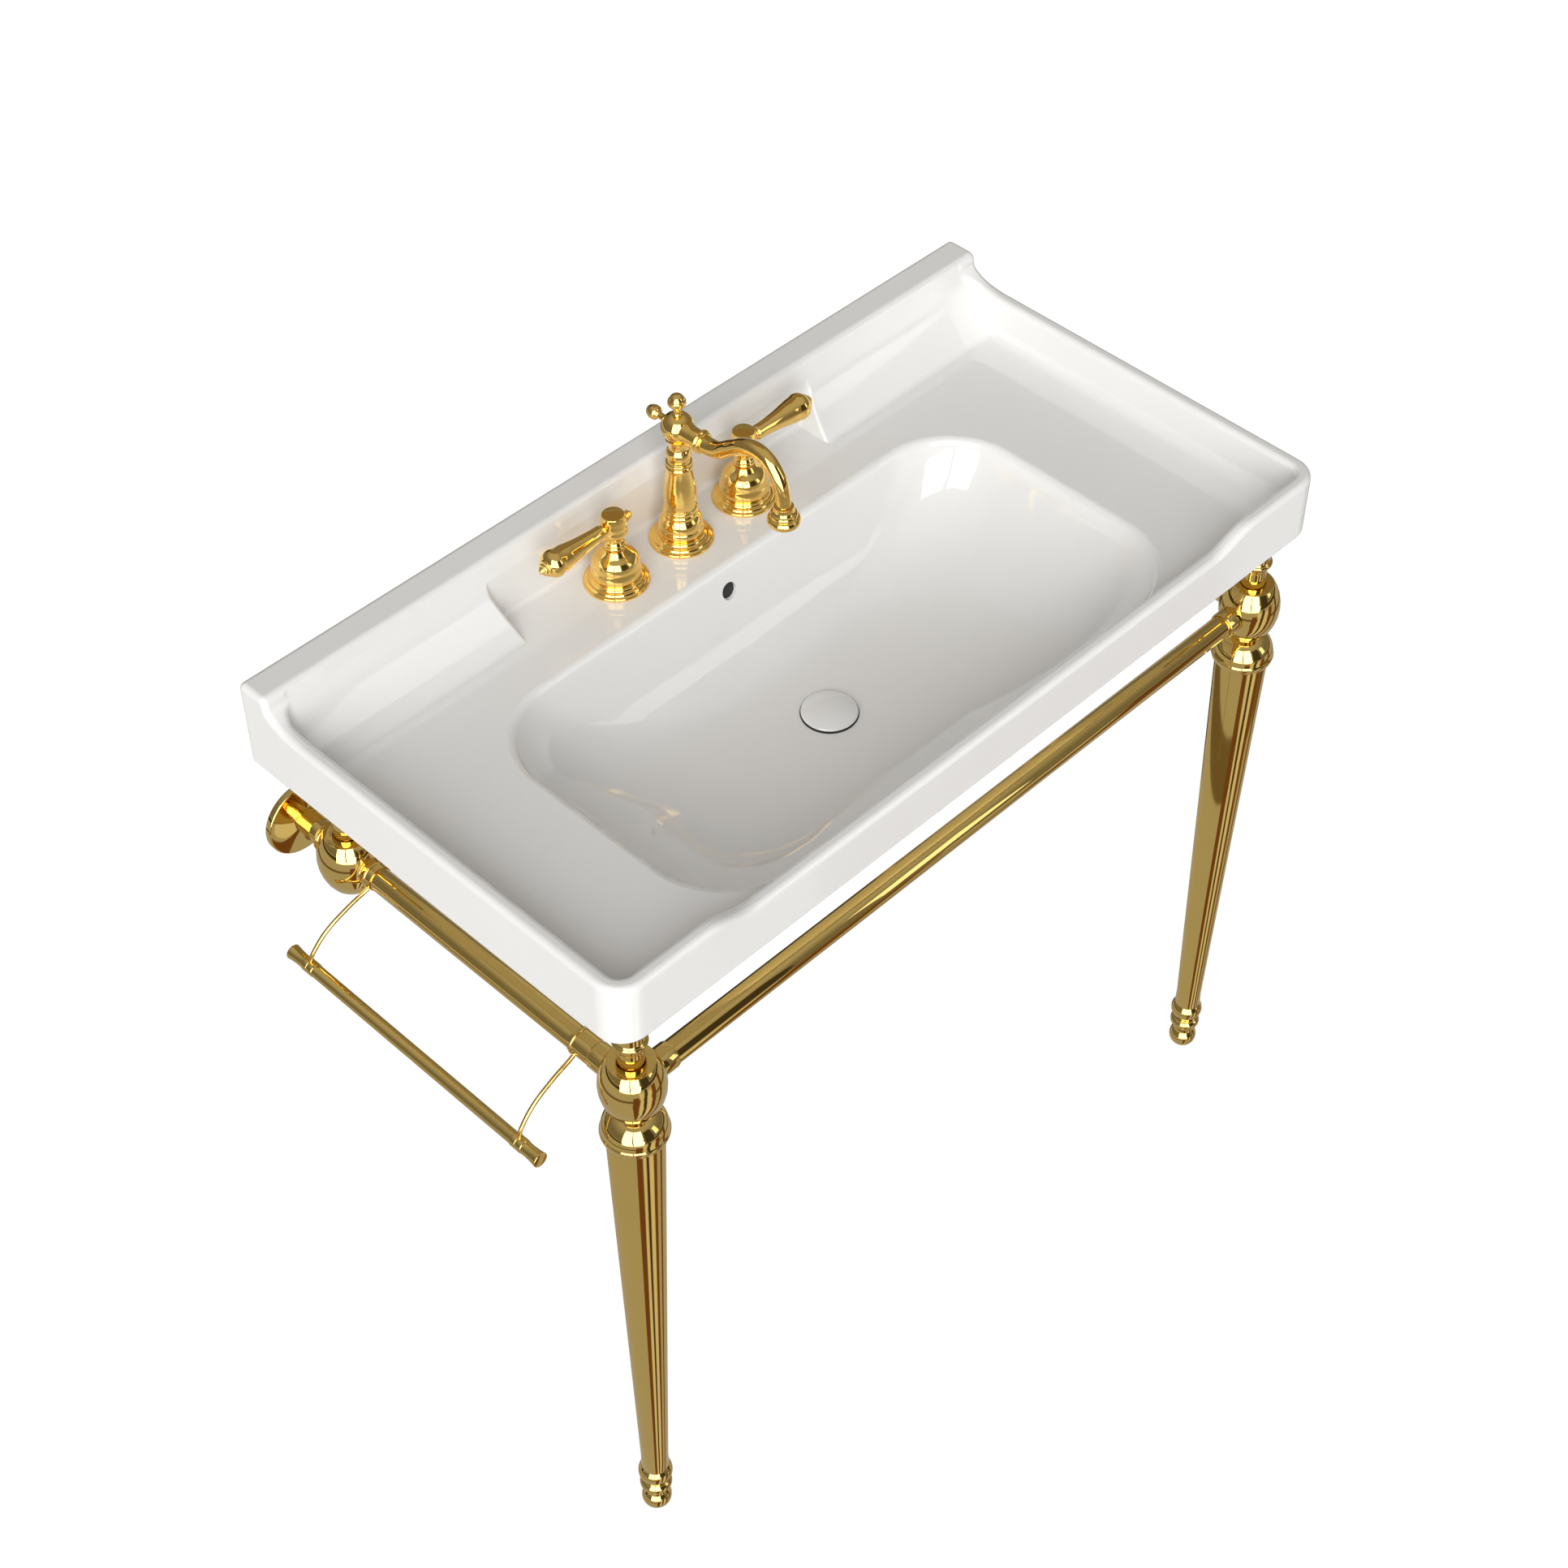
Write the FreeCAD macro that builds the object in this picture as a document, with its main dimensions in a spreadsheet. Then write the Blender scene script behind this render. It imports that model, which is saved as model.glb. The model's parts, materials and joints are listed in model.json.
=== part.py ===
import FreeCAD, Part
import math
import os
import Sketcher

# A console washbasin: a glazed ceramic basin on a turned brass frame with two legs in front, carried at the
# wall behind, with a towel bar on its left, a three-hole faucet and a press-to-open waste.
# The origin is on the wall's face, midway between the two wall flanges, at the height of the frame's rails.
# +X points right, -Y away from the wall and +Z up. All sizes are in millimetres.

Vector = FreeCAD.Vector
X_AXIS = Vector(1, 0, 0)
Y_AXIS = Vector(0, 1, 0)
Z_AXIS = Vector(0, 0, 1)

DRIVING_SIZES = {
    "floor_drop": 700.0,
    # basin
    "basin_width": 941.0,
    "basin_depth": 492.0,
    "skirt_bottom": 101.5,
    "deck_height": 125.5,
    "rim_height": 172.5,
    "back_height": 200.0,
    "rim_thickness": 15.5,
    "clay_thickness": 14.0,
    "front_corner": 29.0,
    "back_corner": 5.0,
    "rim_round": 6.0,
    "foot_round": 4.0,
    "tray_round": 12.0,
    "nose_depth": 37.0,
    "nose_drop": 10.0,
    "cove_end": 82.0,
    "cheek_foot": 80.0,
    "recess_width": 450.0,
    "recess_slope": 22.0,
    "recess_wall": 40.0,
    "recess_round": 5.0,
    "crease_round": 4.0,
    "rim_dip": 13.0,
    "dip_width": 670.0,
    "dip_slope": 60.0,
    "bowl_width": 636.0,
    "bowl_length": 318.0,
    "bowl_line": 298.0,
    "bowl_depth": 100.0,
    "bowl_corner": 82.0,
    "bowl_floor_width": 160.0,
    "bowl_floor_length": 92.0,
    "bowl_lean": 10.0,
    "bowl_fullness": 0.75,
    "mouth_round": 8.0,
    "overflow_radius": 9.0,
    "overflow_drop": 28.0,
    # waste
    "waste_line": 280.0,
    "waste_hole_radius": 24.0,
    "cap_radius": 28.0,
    "cap_dome": 4.5,
    "outlet_radius": 16.0,
    "outlet_length": 60.0,
    # frame
    "leg_spread": 430.4,
    "leg_line": 457.4,
    "rear_line": 74.6,
    "hub_radius": 31.2,
    "hub_flat_radius": 22.0,
    "hub_half_height": 31.0,
    "post_radius": 12.5,
    "cup_radius": 15.5,
    "rail_radius": 12.0,
    "tube_wall": 1.5,
    "ferrule_radius": 13.6,
    "ferrule_reach": 46.0,
    "rear_ferrule_reach": 30.0,
    "collar_radius": 32.3,
    "collar_rim_drop": 64.0,
    "leg_head_radius": 27.2,
    "leg_ankle_radius": 13.9,
    "ankle_height": 90.0,
    "ankle_bead_radius": 17.7,
    "foot_radius": 15.5,
    "wall_flange_radius": 40.0,
    "wall_flange_thickness": 7.0,
    "wall_screw_spacing": 34.0,
    "wall_screw_radius": 2.75,
    # towel bar
    "towel_bar_line": 507.4,
    "towel_bar_drop": 76.0,
    "towel_bar_radius": 6.2,
    "towel_bar_front": 417.5,
    "towel_bar_back": 71.5,
    "towel_arm_front": 391.0,
    "towel_arm_back": 110.0,
    "towel_arm_radius": 2.1,
    # faucet
    "faucet_line": 78.3,
    "faucet_spread": 86.5,
    "deck_hole_radius": 16.0,
    "spout_flange_radius": 32.0,
    "column_radius": 16.4,
    "head_height": 138.0,
    "head_radius": 16.1,
    "spout_reach": 140.0,
    "spout_tube_radius": 8.2,
    "aerator_radius": 16.0,
    "aerator_height": 104.0,
    "escutcheon_radius": 32.6,
    "bell_radius": 24.2,
    "handle_radius": 12.0,
    "handle_base": 43.8,
    "handle_height": 83.4,
    "lever_height": 78.0,
    "lever_reach": 94.0,
    "lever_droop": 4.6,
    "lever_radius": 10.8,
    "moving_gap": 0.4,
    "shaft_gap": 0.06,
}


class Size(float):
    """A length that also carries the sheet formula it comes from."""

    def __new__(cls, value, formula):
        size = float.__new__(cls, value)
        size.formula = formula
        return size

    def __neg__(self):
        return Size(-float(self), f"-({self.formula})")

    def __add__(self, other):
        return Size(float(self) + float(other), f"({self.formula} + {formula_of(other)})")

    def __radd__(self, other):
        return Size(float(other) + float(self), f"({formula_of(other)} + {self.formula})")

    def __sub__(self, other):
        return Size(float(self) - float(other), f"({self.formula} - {formula_of(other)})")

    def __rsub__(self, other):
        return Size(float(other) - float(self), f"({formula_of(other)} - {self.formula})")

    def __mul__(self, other):
        return Size(float(self) * float(other), f"({self.formula} * {formula_of(other)})")

    def __rmul__(self, other):
        return self * other

    def __truediv__(self, other):
        return Size(float(self) / float(other), f"({self.formula} / {formula_of(other)})")


def formula_of(value):
    """Text of a size or a plain number inside a sheet formula."""
    return getattr(value, "formula", f"{float(value):g}")


class Sizes:
    """The driving dimensions, one attribute for each alias in the sheet."""

    def __init__(self, document):
        sheet = document.addObject("Spreadsheet::Sheet", "Sizes")
        for row, (alias, value) in enumerate(DRIVING_SIZES.items(), start=1):
            sheet.set(f"A{row}", alias.replace("_", " "))
            sheet.set(f"B{row}", f"{value:g}")
            sheet.setAlias(f"B{row}", alias)
            setattr(self, alias, Size(value, f"Sizes.{alias}"))


document = FreeCAD.newDocument("console_sink")
size = Sizes(document)
document.recompute()
nodes = []

SIDES = {"left": -1, "right": 1}


def bind(item, name, value):
    """Set a property and tie it to the sheet when its value comes from there."""
    if "." not in name:
        setattr(item, name, float(value))
    if isinstance(value, Size):
        item.setExpression(name, value.formula)


def place(item, at, direction=Z_AXIS, turn=0.0):
    """Stand an item at a point with its own Z along a direction, each coordinate tied to the sheet."""
    rotation = FreeCAD.Rotation(Z_AXIS, direction) * FreeCAD.Rotation(Z_AXIS, turn)
    item.Placement = FreeCAD.Placement(Vector(*[float(value) for value in at]), rotation)
    for letter, value in zip("xyz", at):
        bind(item, f"Placement.Base.{letter}", value)


def arc_middle(start, end, bulge):
    """Middle point of an arc that stands out by a bulge on the right of its chord."""
    chord = end - start
    across = Vector(chord.y, -chord.x, 0).normalize()
    return (start + end) * 0.5 + across * bulge


def draw_outline(sketch, outline):
    """Draw a closed outline of (x, y) or (x, y, bulge) corners; a bulge makes the line to it an arc."""
    corners = [Vector(float(corner[0]), float(corner[1]), 0) for corner in outline]
    count = len(outline)
    for index, corner in enumerate(outline):
        start = corners[index - 1]
        end = corners[index]
        if len(corner) == 3:
            sketch.addGeometry(Part.Arc(start, arc_middle(start, end, float(corner[2])), end))
        else:
            sketch.addGeometry(Part.LineSegment(start, end))
    for index, corner in enumerate(outline):
        tail = end_of(sketch, index, corners[index])
        head = end_of(sketch, (index + 1) % count, corners[index])
        sketch.addConstraint(Sketcher.Constraint("Coincident", index, tail, (index + 1) % count, head))
        pin_point(sketch, index, tail, "DistanceX", corner[0], -2)
        pin_point(sketch, index, tail, "DistanceY", corner[1], -1)
        if len(corner) == 3:
            radius = sketch.Geometry[index].Radius
            sketch.addConstraint(Sketcher.Constraint("Radius", index, radius))


def end_of(sketch, index, corner):
    """Number of the end of an edge that lies at a corner: 1 is its start and 2 its end."""
    first, last = (sketch.getPoint(index, end).distanceToPoint(corner) for end in (1, 2))
    return 1 if first < last else 2


def pin_point(sketch, index, end, kind, value, axis):
    """Hold one coordinate of a corner: on the axis when it is zero, else by a distance from the origin."""
    if float(value) == 0.0:
        sketch.addConstraint(Sketcher.Constraint("PointOnObject", index, end, axis))
        return
    number = sketch.addConstraint(Sketcher.Constraint(kind, -1, 1, index, end, float(value)))
    if isinstance(value, Size):
        sketch.setExpression(f"Constraints[{number}]", value.formula)


def sketch_on(body, name, role, outline):
    """Sketch an outline on one of a body's own origin planes."""
    sketch = body.newObject("Sketcher::SketchObject", name)
    plane = [feature for feature in body.Origin.OriginFeatures if feature.Role == role][0]
    sketch.AttachmentSupport = [(plane, "")]
    sketch.MapMode = "FlatFace"
    draw_outline(sketch, outline)
    return sketch


def turned(label, outline, at, direction=Z_AXIS):
    """A turned piece: an outline of (radius, height) corners spun about its own Z axis."""
    body = document.addObject("PartDesign::Body", label)
    sketch = sketch_on(body, f"{label}_outline", "XZ_Plane", outline)
    spin = body.newObject("PartDesign::Revolution", f"{label}_spin")
    spin.Profile = sketch
    spin.ReferenceAxis = (sketch, ["V_Axis"])
    spin.Angle = 360
    place(body, at, direction)
    return body


def tube(label, radius, bore, start, end, at, direction=Z_AXIS):
    """A plain tube between two heights along a direction."""
    outline = [(bore, start), (radius, start), (radius, end), (bore, end)]
    return turned(label, outline, at, direction)


def keep(item, label=None):
    """List an object as a node of the part."""
    item.Label = label or item.Name
    nodes.append(item)
    return item


def fused(label, pieces):
    """Pieces that are one solid."""
    joined = document.addObject("Part::MultiFuse", label)
    joined.Shapes = pieces
    return joined


def grouped(label, pieces):
    """Separate solids that share one node."""
    group = document.addObject("Part::Compound", label)
    group.Links = pieces
    return group


def drilled(label, piece, holes):
    """A piece with round holes; each hole is a cylinder object."""
    cutter = holes[0]
    if len(holes) > 1:
        cutter = fused(f"{label}_holes", holes)
    cut = document.addObject("Part::Cut", label)
    cut.Base = piece
    cut.Tool = cutter
    return cut


def rod(label, radius, length, at, direction=Z_AXIS):
    """A plain cylinder that starts at a point."""
    cylinder = document.addObject("Part::Cylinder", label)
    bind(cylinder, "Radius", radius)
    bind(cylinder, "Height", length)
    place(cylinder, at, direction)
    return cylinder


# ---------------------------------------------------------------- basin


def line(start, end):
    """A straight edge."""
    return Part.LineSegment(start, end).toShape()


def points_along(edge):
    """Points spread evenly along an edge."""
    steps = 8
    span = edge.LastParameter - edge.FirstParameter
    return [edge.valueAt(edge.FirstParameter + span * step / steps) for step in range(steps + 1)]


def edges_where(shape, test):
    """Edges of a shape whose points all pass a test."""
    return [edge for edge in shape.Edges if all(test(point) for point in points_along(edge))]


def side_profile():
    """Face of the basin's outer side shape: flat front and back, rim, rising cove and backsplash."""
    nose_y = -size.nose_depth
    nose_round = size.nose_drop - 2
    nose_middle = nose_round * (1 - math.sqrt(0.5))
    back_foot = Vector(0, 0, size.skirt_bottom)
    front_foot = Vector(0, -size.basin_depth, size.skirt_bottom)
    rim_front = Vector(0, -size.basin_depth, size.rim_height)
    rim_end = Vector(0, -size.cove_end, size.rim_height)
    nose_foot = Vector(0, nose_y, size.back_height - size.nose_drop)
    nose_side = Vector(0, nose_y, size.back_height - nose_round)
    nose_bend = Vector(0, nose_y + nose_middle, size.back_height - nose_middle)
    nose_top = Vector(0, nose_y + nose_round, size.back_height)
    back_top = Vector(0, 0, size.back_height)
    edges = [
        line(back_foot, front_foot),
        line(front_foot, rim_front),
        line(rim_front, rim_end),
        quarter_ellipse(rim_end, nose_foot),
        line(nose_foot, nose_side),
        Part.Arc(nose_side, nose_bend, nose_top).toShape(),
        line(nose_top, back_top),
        line(back_top, back_foot),
    ]
    return Part.Face(Part.Wire(edges))


def quarter_ellipse(foot, head):
    """Hollow quarter of an ellipse that leaves the foot level and meets the head upright."""
    across = head.y - foot.y
    rise = head.z - foot.z
    steps = 4
    points = []
    for step in range(steps + 1):
        angle = math.radians(90 * step / steps)
        points.append(Vector(0, foot.y + across * math.sin(angle), head.z - rise * math.cos(angle)))
    curve = Part.BSplineCurve()
    curve.interpolate(points, InitialTangent=Y_AXIS, FinalTangent=Z_AXIS)
    return curve.toShape()


def rounded_rectangle(left, right, front, back, front_radius, back_radius, height):
    """Level outline of a rectangle with its front and its back corners rounded."""
    corners = [
        (left + front_radius, front + front_radius, front_radius, 180),
        (right - front_radius, front + front_radius, front_radius, 270),
        (right - back_radius, back - back_radius, back_radius, 0),
        (left + back_radius, back - back_radius, back_radius, 90),
    ]
    arcs = []
    for x, y, radius, first in corners:
        points = []
        for share in (0, 45, 90):
            turn = math.radians(first + share)
            points.append(Vector(x + radius * math.cos(turn), y + radius * math.sin(turn), height))
        arcs.append(points)
    edges = []
    for index, points in enumerate(arcs):
        edges.append(Part.Arc(*points).toShape())
        edges.append(line(points[2], arcs[(index + 1) % len(arcs)][0]))
    return Part.Wire(edges)


def basin_column(inset, low, high):
    """Upright block on the basin's rounded plan, with its walls moved inwards by an inset."""
    half = size.basin_width / 2 - inset
    front = -size.basin_depth + inset
    front_radius = size.front_corner - inset
    plan = rounded_rectangle(-half, half, front, -inset, front_radius, size.back_corner, low)
    return Part.Face(plan).extrude(Vector(0, 0, high - low))


def wall_distance(point, inset):
    """Level distance of a point outside the basin's rounded plan, with its walls moved inwards."""
    middle = size.basin_depth / 2
    corner = size.front_corner - inset if point.y < -middle else size.back_corner
    beyond_x = abs(point.x) - size.basin_width / 2 + inset + corner
    beyond_y = abs(point.y + middle) - middle + inset + corner
    outside = math.hypot(max(beyond_x, 0), max(beyond_y, 0))
    return outside + min(max(beyond_x, beyond_y), 0) - corner


def wall_edges(shape, inset, low, high):
    """Edges that run along the basin's walls, moved inwards by an inset, between two heights."""
    near = 0.05

    def on_wall(point):
        """Whether a point lies on the walls between the heights."""
        return abs(wall_distance(point, inset)) < near and low - near < point.z < high + near

    return edges_where(shape, on_wall)


def outer_block():
    """The basin's outer form, with its front rim dipped and its rim and foot rounded."""
    half = size.basin_width / 2
    profile = side_profile()
    profile.translate(Vector(-half, 0, 0))
    block = profile.extrude(Vector(size.basin_width, 0, 0))
    block = block.common(basin_column(0.0, size.skirt_bottom, size.back_height)).removeSplitter()
    block = block.cut(front_dip())
    block = block.makeFillet(size.rim_round, wall_edges(block, 0.0, size.deck_height, size.back_height))
    return block.makeFillet(size.foot_round, wall_edges(block, 0.0, size.skirt_bottom, size.skirt_bottom))


def front_dip():
    """Cutter that lowers the middle of the front rim between two S-shaped slopes."""
    start = size.dip_width / 2 - size.dip_slope / 2
    end = size.dip_width / 2 + size.dip_slope / 2
    low = size.rim_height - size.rim_dip
    high = size.rim_height
    above = size.back_height
    front = -size.basin_depth - 1

    def slope(side):
        """Smooth rise on one side, from the dip's floor to the rim."""
        foot = Vector(side * start, front, low)
        middle = Vector(side * (start + end) / 2, front, (low + high) / 2)
        head = Vector(side * end, front, high)
        curve = Part.BSplineCurve()
        curve.interpolate([foot, middle, head], InitialTangent=X_AXIS * side, FinalTangent=X_AXIS * side)
        return curve.toShape()

    edges = [
        line(Vector(-start, front, low), Vector(start, front, low)),
        slope(1),
        line(Vector(end, front, high), Vector(end, front, above)),
        line(Vector(end, front, above), Vector(-end, front, above)),
        line(Vector(-end, front, above), Vector(-end, front, high)),
        slope(-1),
    ]
    wire = Part.Wire(Part.__sortEdges__(edges))
    return Part.Face(wire).extrude(Vector(0, 3 * size.rim_thickness, 0))


def cheek_arc(x):
    """Hollow of the cheeks beside the faucet, from the tray's floor up behind the backsplash's nose."""
    foot = Vector(x, -size.cheek_foot, size.deck_height)
    head = Vector(x, -size.nose_depth + 1, size.back_height - size.nose_drop + 3)
    hollow = Vector(0, 4, -7)
    return Part.Arc(foot, (foot + head) * 0.5 + hollow, head).toShape()


def tray_void():
    """Space above the tray's floor, between the rims and in front of the hollow cheeks."""
    inset = size.rim_thickness
    left = -size.basin_width / 2 + inset
    deck = size.deck_height
    above = size.back_height + 10
    cheek = cheek_arc(left)
    foot, head = (vertex.Point for vertex in cheek.Vertexes)
    front_foot = Vector(left, -size.basin_depth + inset, deck)
    front_top = Vector(left, front_foot.y, above)
    back_top = Vector(left, head.y + 4, above)
    edges = [
        line(front_foot, foot),
        cheek,
        line(head, back_top),
        line(back_top, front_top),
        line(front_top, front_foot),
    ]
    void = Part.Face(Part.Wire(edges)).extrude(Vector(-2 * left, 0, 0))
    void = void.common(basin_column(inset, deck, above)).removeSplitter()
    low = wall_edges(void, inset, deck, head.z)
    low += edges_where(void, lambda point: math.hypot(point.y - foot.y, point.z - deck) < 0.01)
    return void.makeFillet(size.tray_round, low)


def recess_void():
    """Space of the faucet's flat shelf, cut back between the two cheeks."""
    deck = size.deck_height
    above = size.back_height + 10
    foot = size.recess_width / 2 - size.recess_slope
    head = size.recess_width / 2
    front = -size.cheek_foot - size.recess_round
    wall = -size.recess_wall
    corners = [
        Vector(-foot, front, deck),
        Vector(foot, front, deck),
        Vector(head, front, above),
        Vector(-head, front, above),
    ]
    face = Part.Face(Part.makePolygon(corners + corners[:1]))
    void = face.extrude(Vector(0, wall - front, 0))
    upright = edges_where(void, lambda point: abs(point.y - wall) < 0.01 and abs(point.x) > foot - 0.01)
    level = edges_where(void, lambda point: math.hypot(point.y - wall, point.z - deck) < 0.01)
    return void.makeFillet(size.recess_round, upright + level)


def crease_edges(shape):
    """Edges where the faucet's recess cuts into the hollow of the cheeks."""
    hollow = cheek_arc(0.0).Curve
    reach = size.recess_width / 2

    def on_cheek(point):
        """Whether a point lies on the cheeks' hollow, as far out as the recess goes."""
        away = math.hypot(point.y - hollow.Center.y, point.z - hollow.Center.z)
        return abs(away - hollow.Radius) < 0.01 and abs(point.x) < reach

    return edges_where(shape, on_cheek)


def bowl_solid(offset):
    """The bowl's inner space, or with an offset the clay around it: a full quarter ellipse in section."""
    lean = math.radians(size.bowl_lean)
    steps = 6
    sections = []
    for step in range(steps + 1):
        turn = lean + (math.pi / 2 - lean) * step / steps
        share = (math.sin(turn) - math.sin(lean)) / (1 - math.sin(lean))
        spread = (max(math.cos(turn), 0) / math.cos(lean)) ** size.bowl_fullness
        half_x = (size.bowl_floor_width + (size.bowl_width - size.bowl_floor_width) * spread) / 2
        half_y = (size.bowl_floor_length + (size.bowl_length - size.bowl_floor_length) * spread) / 2
        middle = -size.waste_line - (size.bowl_line - size.waste_line) * spread
        corner = min(size.bowl_corner, half_y - 1) + offset
        left = -half_x - offset
        front = middle - half_y - offset
        back = middle + half_y + offset
        height = size.deck_height - (size.bowl_depth + offset) * share
        sections.append(rounded_rectangle(left, -left, front, back, corner, corner, height))
    return Part.makeLoft(sections, True, False)


def mouth_edges(shape):
    """Edges of the bowl's mouth in the tray's floor."""
    half_x = size.bowl_width / 2 + 0.1
    half_y = size.bowl_length / 2 + 0.1

    def on_mouth(point):
        """Whether a point of the tray's floor lies no further out than the bowl's mouth."""
        inside = abs(point.x) < half_x and abs(point.y + size.bowl_line) < half_y
        return inside and abs(point.z - size.deck_height) < 0.01

    return edges_where(shape, on_mouth)


def basin_shape():
    """The whole ceramic casting."""
    clay = size.clay_thickness
    deck = size.deck_height
    nose_foot = size.back_height - size.nose_drop
    body = outer_block().cut(tray_void())
    inner_rim = wall_edges(body, size.rim_thickness, deck + size.tray_round + 1, nose_foot)
    body = body.makeFillet(size.rim_round, inner_rim)
    body = body.cut(recess_void()).removeSplitter()
    body = body.makeFillet(size.crease_round, crease_edges(body))
    body = body.cut(basin_column(clay, size.skirt_bottom - 1, deck - clay))
    body = body.fuse(bowl_solid(clay))
    body = body.cut(bowl_solid(0.0)).removeSplitter()
    return body.makeFillet(size.mouth_round, mouth_edges(body))


def make_basin():
    """The basin with its faucet, waste and overflow holes."""
    deck = size.deck_height
    casting = document.addObject("Part::Feature", "basin_casting")
    casting.Shape = basin_shape()
    holes = []
    for name, x in (("left", -size.faucet_spread), ("middle", 0.0), ("right", size.faucet_spread)):
        at = (x, -size.faucet_line, deck - 40)
        holes.append(rod(f"{name}_faucet_hole", size.deck_hole_radius, 60, at))
    at = (0.0, -size.waste_line, -20.0)
    holes.append(rod("waste_hole", size.waste_hole_radius, 80, at))
    at = (0.0, -size.bowl_line + size.bowl_length / 2 - 30, deck - size.overflow_drop)
    holes.append(rod("overflow_hole", size.overflow_radius, 60, at, Y_AXIS))
    keep(drilled("basin", casting, holes))


# ---------------------------------------------------------------- waste


def make_waste():
    """The press-to-open waste under the bowl, with its domed ceramic cap."""
    floor = size.deck_height - size.bowl_depth
    under = -size.clay_thickness
    tail = 22.0
    bore = 19.0
    stem = 4.0
    at = (0.0, -size.waste_line, floor)
    flange = [(bore, -50), (tail, -50), (tail, 0.1), (28.6, 0.1), (28.6, 1.5), (bore, 1.5)]
    keep(turned("drain_flange", flange, at))
    keep(tube("drain_seal", 29, tail + 0.05, under - 3, under, at))
    keep(tube("drain_nut", 31, tail + 0.05, under - 12, under - 3, at))
    outlet = size.outlet_radius
    end = -50 - size.outlet_length
    tail_outline = [
        (outlet - 1.5, end),
        (outlet, end),
        (outlet, -58),
        (tail, -55),
        (tail, -50),
        (outlet - 1.5, -50),
    ]
    keep(turned("tailpiece", tail_outline, at))
    rim = 1.5 + size.moving_gap
    cap = [
        (0.0, rim),
        (size.cap_radius - 0.6, rim),
        (size.cap_radius, rim + 0.8, 0.2),
    ]
    cap += dome(size.cap_radius - 1.2, rim + 2.4, size.cap_dome)
    keep(turned("drain_cap", cap, at))
    keep(rod("cap_stem", stem, 40, (at[0], at[1], floor + rim - 40)))
    sleeve = tube("cartridge_sleeve", 7, stem + size.shaft_gap, -45, -12, at)
    bar = rod("cartridge_bar", 2, 2 * bore - 0.2, (-bore + 0.1, at[1], floor - 28), X_AXIS)
    bridge = fused("cartridge_bridge", [sleeve, bar])
    clear = rod("cartridge_bore", stem + size.shaft_gap, 40, (at[0], at[1], floor - 48))
    keep(drilled("click_cartridge", bridge, [clear]))


# ---------------------------------------------------------------- frame

CORNERS = [("front", "left"), ("front", "right"), ("rear", "left"), ("rear", "right")]
SOCKET_DEPTH = 17.0
SEAT_DEPTH = 27.0


def corner_at(end, side):
    """Centre of the hub at one corner of the frame."""
    line = size.leg_line if end == "front" else size.rear_line
    spread = size.leg_spread if side == "right" else -size.leg_spread
    return (spread, -line, 0.0)


def hub_ball(end, side):
    """Turned ball with a flat above and below and a blind bore for the post."""
    flat = size.hub_flat_radius
    half = size.hub_half_height
    bore = size.post_radius + 0.5
    outline = [(flat, -half), (flat, half, size.hub_radius - flat), (bore, half), (bore, half - 12)]
    outline.append((0.0, half - 12))
    if end == "front":
        outline += [(0.0, -half + 16), (8.2, -half + 16), (8.2, -half)]
    else:
        outline.append((0.0, -half))
    return turned(f"{end}_{side}_ball", outline, corner_at(end, side))


def hub_sockets(end, side):
    """Stepped sockets of the tubes that meet in a hub."""
    inward = X_AXIS if side == "left" else -X_AXIS
    directions = [Y_AXIS]
    directions.append(inward if end == "front" else -Y_AXIS)
    at = corner_at(end, side)
    sockets = []
    for index, direction in enumerate(directions):
        for name, radius, depth in (
            ("socket", size.rail_radius + 0.05, SOCKET_DEPTH - 0.2),
            ("seat", size.ferrule_radius + 0.05, SEAT_DEPTH),
        ):
            start = tuple(value + along * depth for value, along in zip(at, direction))
            sockets.append(rod(f"{end}_{side}_{name}_{index}", radius, 30, start, direction))
    return sockets


def make_hubs():
    """The four hubs of the frame."""
    for end, side in CORNERS:
        keep(drilled(f"{end}_{side}_hub", hub_ball(end, side), hub_sockets(end, side)))


def make_posts():
    """The four short posts with cupped heads that carry the basin, and the pads on them."""
    post = size.post_radius
    cup = size.cup_radius
    pad = 2.0
    seat = size.deck_height - size.clay_thickness - pad
    outline = [
        (0.0, size.hub_half_height - 12),
        (post, size.hub_half_height - 12),
        (post, 49),
        (cup - 0.7, 57, -1.6),
        (cup - 0.7, 62.5, 0.7),
        (cup - 1.6, 64),
        (cup - 1.6, seat),
        (0.0, seat),
    ]
    pads = []
    for end, side in CORNERS:
        at = corner_at(end, side)
        keep(turned(f"{end}_{side}_post", outline, at))
        pads.append(rod(f"{end}_{side}_pad", cup - 2.2, pad, (at[0], at[1], seat)))
    keep(grouped("bearing_pads", pads))


def ferrule(label, at, direction, reach):
    """Short sleeve over a tube's end, with a fine step at its mouth."""
    bore = size.rail_radius + 0.05
    outer = size.ferrule_radius
    outline = [
        (bore, SEAT_DEPTH),
        (outer, SEAT_DEPTH),
        (outer, reach - 1.4),
        (outer - 0.5, reach - 0.9),
        (outer - 0.5, reach),
        (bore, reach),
    ]
    return turned(label, outline, at, direction)


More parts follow.
